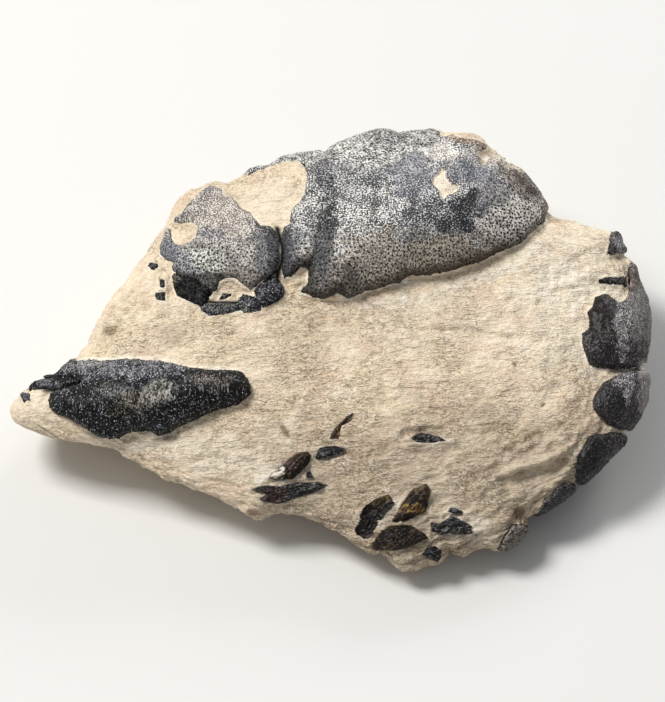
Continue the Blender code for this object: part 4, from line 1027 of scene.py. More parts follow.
def make_shell(shell, seed, materials):
    """A closed sheet of shell: a fine outer face, a coarse root inside the rock and a wall."""
    name, node, outline, thick, thin_edge, slope, spacing, surface, slot = shell
    border = ragged(unroll(resample(outline, spacing)), spacing, seed)
    coarse = border[::3]
    top, top_faces = triangles_in(border, inner_points(coarse, spacing, 0.7 * spacing))
    low, low_faces = triangles_in(border, inner_points(coarse, COARSE_SPACING, 0.8))
    edge = edge_distance(top, coarse, True)
    drawn = drawn_place(top)
    paint_surface, finish = SURFACES[surface]
    masks, relief, pale, dark = paint_surface(top, drawn, edge)
    if surface == "rear_shield":
        relief, pale, dark = flake_off(top, drawn, masks, relief, pale, dark)

    outer = wrap(top)
    outer += outwards(top, outer) * shell_height(edge, relief, thick, thin_edge, slope)[:, None]
    inner = wrap(low)
    inner -= outwards(low, inner) * (SHELL_ROOT + max(0.0, -thick))
    faces = sheet_faces(top_faces, low_faces, len(outer), len(border))
    mesh = mesh_of(name, np.concatenate([outer, inner]), faces)

    masks.setdefault("light", np.zeros(len(outer)))
    masks["skin"] = np.ones(len(outer))
    for mask_name, values in masks.items():
        store(mesh, mask_name, np.concatenate([values, np.zeros(len(inner))]))
    # Painted shade along each edge of the piece
    edge_shade = (1.0 - EDGE_SHADE * below(edge, EDGE_SHADE_WIDTH, EDGE_SHADE_WIDTH))[:, None]
    root_paint = np.tile(dark[:1], (len(inner), 1))
    for tone_name, tone in (("pale", pale), ("dark", dark)):
        store(mesh, tone_name, np.concatenate([tone * edge_shade, root_paint]))
    place = pattern_place(np.concatenate([top, low]))
    store(mesh, "place", np.pad(place, ((0, 0), (0, 1))))

    piece = finish_piece(name, mesh, materials[finish])
    if surface in BEADED:
        scatter_beads(piece, *BEADED[surface], seed)
    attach(piece, "root")
    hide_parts(node)


# ---------------------------------------------------------------------------
# The rock
# ---------------------------------------------------------------------------

# How far apart the rock's points are, in millimetres, and how the steep strip at its rim is cut
FRONT_SPACING = 0.34
COVERED_SPACING = 1.4
BACK_SPACING = 1.3
COVER_SPACING = 0.8
RIM_POINTS = 960
STEEP_FRACTION = 0.97
RIM_ROWS = 8
RIM_STEP = math.pi / RIM_POINTS
RIM_THINNING = (1, 1, 2, 2, 4, 4)

# The bed under each piece of shell, and the crumbly lip round it. The lip is low by the legs, and
# it ends just behind the rim.
BED_SINK = 0.5
BED_SLOPE = 0.7
LIP_HEIGHT = 0.42
LIP_WIDTH = 0.60
# The lip's pale colour is partly crumbly crust and partly painted light that lifts it out of the
# shade by the shell's edge
LIP_PALE_AND_LIGHT = 0.80
LIP_PALE_WIDTH = 0.50
LOW_LIP = 0.25
LIP_END = 1.04
LIP_FADE = 0.03
FAR_FROM_SHELL = 9.0

# Cracks of the rock
FACE_CRACK = [(6.6, 10.6), (8.0, 9.0), (11.0, 7.6), (14.0, 6.4), (16.0, 4.6), (18.6, 4.0)]
FACE_CRACK_END = [(18.6, 4.0), (24.0, 4.0), (28.0, 4.2), (33.0, 3.2), (38.0, 2.2)]
RIGHT_CRACK = [(44.4, 11.8), (49.0, 12.6), (54.0, 13.2)]
LEFT_CRACK = [(-47.0, 6.2), (-43.6, 8.6), (-40.2, 8.0)]
LOW_CRACK = [(30.0, -15.0), (33.6, -14.6)]

# Marks on the rock, in millimetres on the drawing. A furrow is a line, its half width and its
# depth, and one of less than 0 is a ridge. A hollow, a bump, a stain or a pale or a broken spot is
# its centre, its radii, its angle and its depth or strength.
FURROWS = [
    (RIGHT_CRACK, 0.22, 0.30),
    ([(50.4, 11.0), (52.6, 11.2)], 0.20, 0.35),
    (LEFT_CRACK, 0.25, 0.35),
    ([(-9.8, -15.0), (-8.2, -17.0)], 0.30, 0.35),
    (FACE_CRACK, 0.30, 0.36),
    (FACE_CRACK_END, 0.30, 0.30),
    ([(22.0, -1.0), (25.0, -0.8)], 0.20, 0.22),
    (LOW_CRACK, 0.26, 0.36),
    ([(3.0, -7.6), (7.0, -7.2)], 0.22, 0.22),
    ([(33.0, -25.2), (37.0, -23.8), (41.0, -22.6), (44.6, -21.4), (47.0, -19.7)], 0.5, -0.75),
    ([(47.0, -19.7), (47.8, -21.4), (49.0, -22.0)], 0.5, -0.6),
    ([(35.0, -26.8), (40.0, -25.0), (44.6, -23.6), (47.0, -22.2)], 1.1, 0.85),
    ([(12.0, -19.6), (15.0, -18.9), (18.6, -18.9)], 0.30, -0.30),
    ([(-6.6, -22.4), (-9.8, -25.4), (-12.0, -26.6)], 0.5, 0.6),
    ([(14.0, -34.6), (13.6, -31.6), (15.4, -28.6)], 0.35, -0.5),
    ([(13.0, -16.0), (18.0, -18.6), (24.6, -18.4)], 0.35, -0.35),
    ([(-61.0, -17.2), (-56.0, -18.6), (-50.0, -20.8)], 0.45, 0.30),
]
HOLLOWS = [
    ((-44.0, 3.6), (1.3, 0.7), 10.0, 0.7),
    ((-33.4, -17.4), (1.8, 0.8), 20.0, 0.5),
    ((29.4, 13.8), (0.5, 0.4), 0.0, 0.4),
    ((37.0, -2.8), (0.55, 0.4), -30.0, 0.5),
    ((42.6, -11.0), (0.6, 0.4), 40.0, 0.5),
    ((36.4, -20.0), (0.6, 0.4), 0.0, 0.4),
    ((-23.2, -14.8), (0.5, 0.4), 0.0, 0.4),
    ((19.4, -16.4), (4.4, 1.2), 4.0, 1.0),
    ((34.0, -16.0), (3.6, 1.2), 10.0, 0.35),
]
BUMPS = [
    ((-15.6, -32.0), (1.2, 0.8), 0.0, 0.5),
    ((-6.0, 13.2), (1.0, 0.4), 20.0, 0.4),
    ((18.0, -19.4), (4.6, 0.6), 4.0, 0.35),
]
STAINS = [
    ((37.8, -32.4), (1.6, 1.6), 0.0, 0.8),
    ((-31.4, 3.2), (3.0, 2.2), 0.0, 0.30),
    ((-44.0, 3.6), (1.4, 0.8), 10.0, 0.7),
    ((-9.0, -16.0), (0.7, 1.3), 40.0, 0.7),
    ((-15.6, -32.0), (1.2, 0.8), 0.0, 0.7),
    ((-33.4, -17.8), (3.0, 0.9), 15.0, 0.55),
    ((-6.0, 13.2), (1.1, 0.5), 20.0, 0.7),
    ((37.0, -2.8), (0.5, 0.35), -30.0, 0.9),
    ((42.6, -11.0), (0.6, 0.4), 40.0, 0.8),
    # Painted shadow in the hollow above the face sliver
    ((20.0, -16.9), (3.4, 0.8), 4.0, 0.6),
    ((4.2, -16.2), (0.8, 2.4), -35.0, 0.35),
    ((-3.4, -26.6), (3.2, 1.2), 15.0, 0.35),
    ((12.0, -33.0), (3.4, 3.4), 0.0, 0.30),
    ((28.0, -39.2), (2.0, 1.2), 0.0, 0.45),
    ((46.0, -32.0), (2.4, 1.2), 35.0, 0.4),
    ((52.6, 14.4), (1.6, 0.9), 0.0, 0.35),
    ((22.4, -36.4), (1.9, 0.8), -12.0, 0.5),
    ((1.6, -14.4), (0.8, 1.6), -30.0, 0.4),
    ((30.4, 39.4), (1.0, 0.5), -10.0, 0.5),
    ((40.0, -17.0), (3.0, 0.5), 6.0, 0.30),
    ((28.0, -24.0), (3.0, 0.5), 4.0, 0.30),
    # A broad darker patch low in the middle of the face
    ((26.0, -13.0), (15.0, 5.0), -4.0, 0.15),
]
# Painted shadow in the gaps where pieces of shell meet: a line and its half width
SHADOW_SEAM_STRENGTH = 1.4
SHADOW_SEAMS = [
    ([(-10.6, 24.2), (-9.9, 21.6), (-9.8, 17.6), (-10.4, 15.8), (-10.6, 14.6)], 0.55),
    ([(-10.6, 16.2), (-13.0, 14.0), (-14.2, 12.6)], 0.45),
    ([(-24.6, 9.6), (-21.4, 9.4), (-18.0, 9.2), (-17.2, 8.6)], 0.4),
    ([(-57.0, -7.8), (-54.4, -8.1), (-52.2, -7.4), (-49.8, -6.9)], 0.5),
    ([(-50.2, -6.4), (-50.4, -4.8), (-51.1, -2.5)], 0.45),
    ([(56.0, -4.2), (59.6, -4.4), (62.0, -4.0)], 0.25),
]
# The bare patch of rock between the shields: centre, radii and angle
BARE_PATCH = ((-11.8, 30.2), (5.6, 4.2), 0.0)
# Paler rock to the right, along the shell, round the broken legs and on the outer rim, and painted
# light that lifts rock lying in shade: under the shield's low edge, below the claw and low on the
# left
PALE_ROCK_AND_LIGHT = [
    ((46.0, 18.0), (16.0, 9.0), -12.0, 0.46),
    ((48.0, 6.0), (12.0, 12.0), 0.0, 0.50),
    # Painted light: these four lift the rock under the shield's low edge out of its shade
    ((20.0, 6.0), (14.0, 6.0), 5.0, 0.25),
    ((14.0, 9.8), (8.0, 1.3), 8.0, 0.70),
    ((28.0, 13.8), (8.0, 1.3), 14.0, 0.70),
    ((38.4, 18.6), (4.0, 1.2), 32.0, 0.60),
    # Painted light: these two lift the rock below the claw out of its shade
    ((-34.0, -18.6), (6.0, 1.2), 10.0, 0.40),
    ((-9.0, -16.0), (3.0, 3.0), 0.0, 0.30),
    # Pale crust along the shield's low edge, partly painted light against its shade
    ((4.6, 10.2), (4.0, 0.6), 0.0, 0.55),
    ((14.0, 13.2), (4.6, 0.6), 8.0, 0.9),
    ((24.0, 15.6), (5.0, 0.5), 7.0, 0.7),
    ((30.6, 38.2), (1.2, 0.9), 0.0, 0.7),
    ((36.0, 40.0), (9.0, 5.0), -40.0, 0.30),
    ((-46.0, -1.9), (6.0, 0.45), 0.0, 0.8),
    ((-34.0, -1.9), (7.0, 0.45), -5.0, 0.8),
    ((-23.0, -3.7), (6.0, 0.45), -4.0, 0.8),
    ((-60.0, -11.0), (6.0, 5.0), 0.0, 0.35),
    ((26.4, -35.2), (4.6, 3.0), -20.0, 0.75),
    ((-9.4, -24.4), (5.0, 2.2), 20.0, 0.70),
    ((12.4, -31.6), (1.2, 4.0), -30.0, 0.60),
    ((14.0, -16.6), (1.6, 1.2), 0.0, 0.35),
    ((2.6, -8.4), (2.6, 1.2), 0.0, 0.5),
    # Painted light: lifts the low left of the face, which turns away from the lamps
    ((-24.0, -20.0), (14.0, 5.0), -14.0, 0.50),
    ((-44.0, -19.0), (8.0, 2.4), -10.0, 0.35),
    ((60.0, -3.6), (4.6, 0.7), 0.0, 0.8),
    ((59.4, -16.6), (3.0, 0.9), -30.0, 0.7),
    ((51.0, -19.8), (3.0, 1.2), 25.0, 0.5),
]
# Thin brown cracks: a line, its half width and its strength
CRACKS = [
    (FACE_CRACK, 0.16, 0.55),
    (FACE_CRACK_END, 0.16, 0.40),
    (RIGHT_CRACK, 0.12, 0.45),
    ([(-33.4, 21.6), (-35.0, 18.4), (-34.4, 16.8), (-33.4, 16.2), (-34.2, 14.4)], 0.14, 0.75),
    ([(-34.2, 14.4), (-33.4, 12.8), (-32.8, 13.6), (-31.9, 14.8)], 0.14, 0.70),
    ([(-33.4, 16.2), (-32.4, 15.4), (-32.0, 13.4), (-31.6, 11.4)], 0.16, 0.75),
    (LEFT_CRACK, 0.14, 0.50),
    ([(6.0, -20.6), (10.0, -19.4), (14.6, -17.2)], 0.20, 0.55),
    ([(-9.8, -14.6), (-8.0, -17.4)], 0.22, 0.6),
    ([(-14.0, -11.4), (-9.4, -13.8)], 0.16, 0.45),
    (LOW_CRACK, 0.22, 0.65),
    ([(43.4, -19.4), (46.4, -18.6)], 0.20, 0.55),
    ([(34.0, -25.8), (40.0, -24.0), (44.6, -22.6), (47.0, -21.4)], 0.5, 0.40),
]
# Ground that is broken up round the legs and the head
BROKEN_ROCK = [
    ((-9.4, -25.0), (6.4, 4.0), 20.0, 0.30),
    ((24.0, -35.4), (7.0, 4.0), -20.0, 0.34),
    ((44.0, -36.0), (5.0, 3.0), 30.0, 0.30),
    ((-4.6, 13.0), (2.2, 2.4), 0.0, 0.25),
    ((-31.6, 13.0), (2.6, 3.4), 0.0, 0.25),
    ((-48.0, -18.0), (9.0, 2.4), -14.0, 0.14),
]


def back_plane(flat):
    """Points of the unrolled skin to a plane that is flat round the middle of the back, and the
    same way from that plane to the skin."""
    radius, rim = radius_and_rim(flat)
    return flat * ((math.pi * rim - radius) / radius)[:, None]


def rim_ring():
    """Points all round the rim."""
    angles = np.linspace(-math.pi, math.pi, RIM_POINTS, endpoint=False)
    return np.stack([np.cos(angles), np.sin(angles)], axis=1) * rim_radius(angles)[:, None]


def under_cover(points, covers, clear):
    """Which points lie further than a distance inside a piece of shell."""
    hidden = np.zeros(len(points), bool)
    for cover in covers:
        hidden |= depth_inside(points, cover) > clear
    return hidden


def front_points(ring, covers):
    """Points of the front face on the unrolled skin: rows along the rim, then a fine field where
    the rock is bare and a coarse one under the shell."""
    steep = STEEP_FRACTION * ring
    fine = inner_points(steep, FRONT_SPACING, 0.5 * FRONT_SPACING)
    fine = fine[~under_cover(fine, covers, 2.0 * FRONT_SPACING)]
    coarse = inner_points(steep, COVERED_SPACING, 0.5 * COVERED_SPACING)
    coarse = coarse[under_cover(coarse, covers, COVERED_SPACING)]
    turns = np.linspace(0.5 * math.pi, math.asin(STEEP_FRACTION), RIM_ROWS + 1)
    rows = [ring * turn for turn in turns]
    return np.concatenate([*rows, unroll(fine), unroll(coarse)])


def back_points(ring):
    """Points of the back on the unrolled skin, closer together near the rim."""
    rows = []
    turn = 0.5 * math.pi
    for thinning in RIM_THINNING:
        turn += RIM_STEP * thinning
        rows.append(ring[::thinning] * turn)
    inner = inner_points(ring * (math.pi - turn), BACK_SPACING, 0.6 * BACK_SPACING)
    rows.append(back_plane(inner))
    return np.concatenate(rows)


def marks(drawn, table, seed, ragged_by):
    """The sum of soft spots, each as strong as its last number."""
    total = np.zeros(len(drawn))
    for index, (centre, radii, angle, strength) in enumerate(table):
        near = near_line(drawn, [centre], 2.0 * max(radii))
        total[near] += strength * spot(drawn[near], centre, radii, angle, ragged_by, seed + index)
    return total


def lip_strength(drawn):
    """1 round the head, the shield and the claw's upper edge, less round the legs, and 0 behind."""
    radius, rim = radius_and_rim(drawn)
    front = below(radius / rim, LIP_END, LIP_FADE)
    return front * (LOW_LIP + (1.0 - LOW_LIP) * above(drawn[:, 1], -7.0, 5.0))


def rock_relief(flat, drawn, inside, outside):
    """The rock's relief in millimetres and its fine roughness alone. Inside and outside are the
    distances from the nearest edge of shell."""
    low = below(drawn[:, 1], -12.0, 9.0)
    threads = grain(turned(flat, 0.0, 2.2, 0.7), 0.9, 107, 3)
    rough = blend(grain(flat, 1.1, 104, 2), threads, 0.55 + 0.35 * low)
    fine = grain(turned(flat, 0.0, 1.5, 0.8), 0.55, 110, 2)
    chips = np.maximum(0.0, grain(flat, 3.4, 113, 2) - 0.42)
    waves = grain(turned(flat, 12.0, 2.6, 1.0), 1.9, 118, 2)
    relief = 0.46 * grain(flat, 5.0, 101, 2) + (0.09 + 0.10 * low) * rough
    relief += (0.19 + 0.17 * low) * waves + (0.06 + 0.04 * low) * fine - 0.5 * chips
    relief += marks(drawn, BROKEN_ROCK, 210, 0.5) * grain(flat, 1.0, 117)
    for line, half_width, depth in FURROWS:
        relief += crease(drawn, line, -depth, half_width)
    relief += marks(drawn, BUMPS, 140, 0.3) - marks(drawn, HOLLOWS, 120, 0.3)
    crumbs = 1.0 + 0.5 * grain(flat, 0.9, 121, 2)
    lip = LIP_HEIGHT * crumbs * lip_strength(drawn)
    relief += lip * np.exp(-((outside / LIP_WIDTH) ** 2))
    bed = smooth_step(inside / BED_SLOPE)
    return blend(relief, -BED_SINK, bed), 0.6 * rough + 0.4 * fine - 1.5 * chips


def beside_shell(flat, covers):
    """How far inside and how far outside the nearest edge of shell each point lies."""
    inside = np.zeros(len(flat))
    outside = np.full(len(flat), FAR_FROM_SHELL)
    for cover in covers:
        near = near_line(flat, cover, 3.0 * LIP_WIDTH)
        away = edge_distance(flat[near], cover, True)
        within = is_inside(flat[near], cover)
        inside[near] = np.maximum(inside[near], np.where(within, away, 0.0))
        outside[near] = np.minimum(outside[near], away)
    return inside, outside


def rock_tones(mesh, flat, drawn, rough, outside):
    """Stores where the rock is stained, bare, rough, darker low down (partly painted shade) and pale
    (partly painted light), and where painted shadow fills the gaps between pieces of shell.
    """
    stain = marks(drawn, STAINS, 160, 0.5)
    for line, half_width, strength in CRACKS:
        stain += crease(drawn, line, strength, half_width) * (0.7 + 0.6 * grain(flat, 1.3, 119))
    # Painted shadow along the gaps between pieces of shell
    seam_shadow = np.zeros(len(flat))
    for line, half_width in SHADOW_SEAMS:
        seam_shadow = np.maximum(seam_shadow, crease(drawn, line, SHADOW_SEAM_STRENGTH, half_width))
    # Darker low down, partly a greyer tone and partly painted shade where the face turns down, and
    # less of it on the left
    low = below(drawn[:, 1], -8.0, 14.0)
    low *= 0.25 + 0.75 * above(drawn[:, 0], -20.0, 16.0)
    # Paler rock, partly painted light where the rock lies in shade
    pale = marks(drawn, PALE_ROCK_AND_LIGHT, 190, 0.5) * (0.6 + 0.5 * grain(flat, 0.9, 115))
    # The pale lip, partly painted light
    lip = LIP_PALE_AND_LIGHT * lip_strength(drawn) * smooth_step(0.6 + 1.2 * grain(flat, 1.2, 116))
    pale += lip * np.exp(-((outside / LIP_PALE_WIDTH) ** 2))
    store(mesh, "stain", np.clip(stain, 0.0, 1.0))
    store(mesh, "seam_shadow", np.clip(seam_shadow, 0.0, 1.0))
    store(mesh, "bare", spot(drawn, *BARE_PATCH, 0.3, 180))
    store(mesh, "rough", rough)
    store(mesh, "low", low)
    store(mesh, "pale_rock_and_light", np.clip(pale, 0.0, 1.0))


def rock_skin(covers):
    """Points of the whole unrolled skin, and its faces: a fine front and a coarse back that meet
    in the ring of points at the rim."""
    ring = rim_ring()
    front = front_points(ring, covers)
    ring = front[:RIM_POINTS]
    front, front_faces = triangles_in(ring, front[RIM_POINTS:])
    back = back_plane(back_points(rim_ring()))
    back, back_faces = triangles_in(back_plane(ring), back)
    flat = np.concatenate([front, back_plane(back[RIM_POINTS:])])
    shift = len(front) - RIM_POINTS
    back_faces = [[p if p < RIM_POINTS else p + shift for p in face[::-1]] for face in back_faces]
    return flat, list(front_faces) + back_faces


def make_rock(material):
    """The nodule: one closed mesh, with a bed for each piece of shell."""
    covers = [np.array(shell[2]) for shell in SHELLS]
    flat, faces = rock_skin(covers)
    drawn = drawn_place(flat)
    unrolled = [unroll(resample(cover, COVER_SPACING)) for cover in covers]
    inside, outside = beside_shell(flat, unrolled)
    relief, rough = rock_relief(flat, drawn, inside, outside)
    points = wrap(flat)
    points += outwards(flat, points) * relief[:, None]
    points[:, 2] = np.maximum(points[:, 2], 0.0)
    mesh = mesh_of("rock_nodule", points, faces)
    rock_tones(mesh, flat, drawn, rough, outside)
    piece = finish_piece("rock_nodule", mesh, material)
    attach(piece, "root")
    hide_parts("matrix")


# ---------------------------------------------------------------------------
# Nodes, for the beads and for the materials
# ---------------------------------------------------------------------------


def add(tree, kind, inputs=None, **settings):
    """Adds a node: its settings, then its inputs as values or as links from other sockets."""
    node = tree.nodes.new(kind)
    for name, value in settings.items():
        setattr(node, name, value)
    for name, value in (inputs or {}).items():
        if isinstance(value, bpy.types.NodeSocket):
            tree.links.new(value, node.inputs[name])
        else:
            node.inputs[name].default_value = value
    return node


def calculate(tree, operation, first, second):
    """The result of a Math node."""
    return add(tree, "ShaderNodeMath", {0: first, 1: second}, operation=operation).outputs[0]


# ---------------------------------------------------------------------------
# Beads scattered over a shell, with Geometry Nodes
# ---------------------------------------------------------------------------

# Kind of surface: beads to a square millimetre, smallest and largest radius in millimetres
BEADED = {
    "claw": (4.0, 0.05, 0.15),
    "tail": (1.6, 0.05, 0.13),
    "joint": (3.0, 0.05, 0.13),
    "mouth": (2.0, 0.06, 0.16),
}
# A chance to this power is how light a bead is, so that few are bright
BRIGHT_BEADS_POWER = 7.0


def make_bead_tree():
    """Geometry Nodes: a mesh with small beads scattered over the part of it marked as skin."""
    tree = bpy.data.node_groups.new("scattered_beads", "GeometryNodeTree")
    for name, kind in (
        ("Shell", "NodeSocketGeometry"),
        ("Density", "NodeSocketFloat"),
        ("Smallest", "NodeSocketFloat"),
        ("Largest", "NodeSocketFloat"),
        ("Seed", "NodeSocketInt"),
        ("Material", "NodeSocketMaterial"),
    ):
        tree.interface.new_socket(name, in_out="INPUT", socket_type=kind)
    tree.interface.new_socket("Beaded Shell", in_out="OUTPUT", socket_type="NodeSocketGeometry")
    given = add(tree, "NodeGroupInput").outputs
    skin = add(tree, "GeometryNodeInputNamedAttribute", {"Name": "skin"}, data_type="FLOAT")
    density = calculate(tree, "MULTIPLY", given["Density"], skin.outputs["Attribute"])
    scatter = {"Mesh": given["Shell"], "Density": density, "Seed": given["Seed"]}
    points = add(tree, "GeometryNodeDistributePointsOnFaces", scatter)
    chance = add(tree, "FunctionNodeRandomValue", {2: 0.0, 3: 1.0, "Seed": 7}, data_type="FLOAT")
    bright = calculate(tree, "POWER", chance.outputs[1], BRIGHT_BEADS_POWER)
    named = {"Geometry": points.outputs[0], "Name": "light", "Value": bright}
    lit = add(tree, "GeometryNodeStoreNamedAttribute", named, data_type="FLOAT")
    own_tone = {"Geometry": lit.outputs[0], "Name": "share", "Value": 1.0}
    lit = add(tree, "GeometryNodeStoreNamedAttribute", own_tone, data_type="FLOAT")
    bead = add(tree, "GeometryNodeMeshIcoSphere", {"Radius": 1.0, "Subdivisions": 1})
    sizes = {2: given["Smallest"], 3: given["Largest"], "Seed": 11}
    size = add(tree, "FunctionNodeRandomValue", sizes, data_type="FLOAT").outputs[1]
    placed = {"Points": lit.outputs[0], "Instance": bead.outputs[0], "Scale": size}
    beads = add(tree, "GeometryNodeInstanceOnPoints", placed)
    joined = add(tree, "GeometryNodeJoinGeometry")
    real = add(tree, "GeometryNodeRealizeInstances", {"Geometry": beads.outputs[0]})
    tree.links.new(real.outputs[0], joined.inputs[0])
    tree.links.new(given["Shell"], joined.inputs[0])
    finish = {"Geometry": joined.outputs[0], "Material": given["Material"]}
    finished = add(tree, "GeometryNodeSetMaterial", finish)
    add(tree, "NodeGroupOutput", {"Beaded Shell": finished.outputs[0]})
    return tree


def scatter_beads(piece, density, smallest, largest, seed):
    """Runs the bead tree on a piece and keeps the result as its plain mesh."""
    tree = bpy.data.node_groups.get("scattered_beads") or make_bead_tree()
    modifier = piece.modifiers.new("beads", "NODES")
    modifier.node_group = tree
    sockets = {item.name: item.identifier for item in tree.interface.items_tree}
    modifier[sockets["Density"]] = density / MM**2
    modifier[sockets["Smallest"]] = smallest * MM
    modifier[sockets["Largest"]] = largest * MM
    modifier[sockets["Seed"]] = seed
    modifier[sockets["Material"]] = piece.data.materials[0]
    graph = bpy.context.evaluated_depsgraph_get()
    mesh = bpy.data.meshes.new_from_object(piece.evaluated_get(graph), depsgraph=graph)
    piece.modifiers.remove(modifier)
    mesh.name = piece.name
    piece.data = mesh


# ---------------------------------------------------------------------------
# Materials
# ---------------------------------------------------------------------------

# Sizes of the rock's patterns, in metres
CLOUD_SIZE = 0.013
BLUSH_SIZE = 0.0064
PATCH_SIZE = 0.0034
FOLD_SIZE = 0.0012
FLECK_SIZE = 0.00044
SAND_SIZE = 0.00034

# Sizes of the shell's patterns, in millimetres on the drawing
GRAIN_SIZE = 0.33
DARK_GRAIN_SIZE = 0.36
GRAIN_SOFTNESS = 0.11
PIT_PITCH = 0.80
GRANULE_PITCH = 0.48
BRIGHT_PITCH = 0.48
DOT_SOFTNESS = 0.12
GRANULE_ANGLE = -50.0
GRANULE_SQUEEZE = (1.55, 0.62, 1.0)


def mixed(tree, factor, first, second):
    """A mix of two colours. The colour sockets of a Mix node are its 7th and 8th inputs."""
    node = add(tree, "ShaderNodeMix", {0: factor}, data_type="RGBA")
    for socket, value in ((node.inputs[6], first), (node.inputs[7], second)):
        if isinstance(value, bpy.types.NodeSocket):
            tree.links.new(value, socket)
        else:
            socket.default_value = value
    return node.outputs[2]


def reach(tree, value, low, high, out_low=0.0, out_high=1.0):
    """A value stretched from one range to another and kept inside it."""
    inputs = {0: value, 1: low, 2: high, 3: out_low, 4: out_high}
    return add(tree, "ShaderNodeMapRange", inputs).outputs[0]


def times(tree, first, second):
    return calculate(tree, "MULTIPLY", first, second)


def read(tree, name, kind="Fac"):
    """What a mesh carries for each point: a value, or its Color or Vector."""
    return add(tree, "ShaderNodeAttribute", attribute_name=name).outputs[kind]


def new_group(name, vectors, values, result):
    """A shader node group with vector and value inputs and one value as its result."""
    group = bpy.data.node_groups.new(name, "ShaderNodeTree")
    for kind, sockets in (("NodeSocketVector", vectors), ("NodeSocketFloat", values)):
        for socket in sockets:
            group.interface.new_socket(socket, in_out="INPUT", socket_type=kind)
    group.interface.new_socket(result, in_out="OUTPUT", socket_type="NodeSocketFloat")
    return group, add(group, "NodeGroupInput").outputs


def make_fine_grain():
    """A group: uneven grain of a given size, as a value about 0.5, finer than the mesh."""
    group, given = new_group("fine_grain", ["Stretch"], ["Size"], "Grain")
    place = add(group, "ShaderNodeTexCoord").outputs["Object"]
    stretched = add(group, "ShaderNodeMapping", {"Vector": place, "Scale": given["Stretch"]})
    frequency = calculate(group, "DIVIDE", 1.0, given["Size"])
    settings = {"Vector": stretched.outputs[0], "Scale": frequency}
    noise = add(group, "ShaderNodeTexNoise", settings | {"Detail": 3.0, "Roughness": 0.55})
    add(group, "NodeGroupOutput", {"Grain": noise.outputs[0]})
    return group


def fine_grain(tree, size, stretch=(1.0, 1.0, 1.0)):
    """Places the grain group in a tree, with a size in metres."""
    group = bpy.data.node_groups.get("fine_grain") or make_fine_grain()
    node = add(tree, "ShaderNodeGroup", node_tree=group)
    node.inputs["Size"].default_value = size
    node.inputs["Stretch"].default_value = stretch
    return node.outputs["Grain"]


def new_material(name, roughness, gloss=0.35):
    """A material, its tree and its shader."""
    material = bpy.data.materials.new(name)
    material.use_nodes = True
    shader = material.node_tree.nodes["Principled BSDF"]
    shader.inputs["Roughness"].default_value = roughness
    shader.inputs["Specular IOR Level"].default_value = gloss
    return material, material.node_tree, shader


def finish_material(tree, shader, base, height, strength, distance):
    """Links the colour, and the height as a bump of a strength and a distance in metres."""
    tree.links.new(base, shader.inputs["Base Color"])
    settings = {"Strength": strength, "Distance": distance, "Height": height}
    tree.links.new(add(tree, "ShaderNodeBump", settings).outputs[0], shader.inputs["Normal"])


def crinkles(tree, size, stretch, detail):
    """A wandering noise drawn out sideways, and how far it is from its middle value."""
    place = add(tree, "ShaderNodeTexCoord").outputs["Object"]
    place = add(tree, "ShaderNodeMapping", {"Vector": place, "Scale": stretch}).outputs[0]
    settings = {"Vector": place, "Scale": 1.0 / size, "Detail": detail, "Roughness": 0.55}
    settings["Distortion"] = 0.6
    noise = add(tree, "ShaderNodeTexNoise", settings).outputs[0]
    away = calculate(tree, "ABSOLUTE", calculate(tree, "SUBTRACT", noise, 0.5), 0.0)
    return noise, away


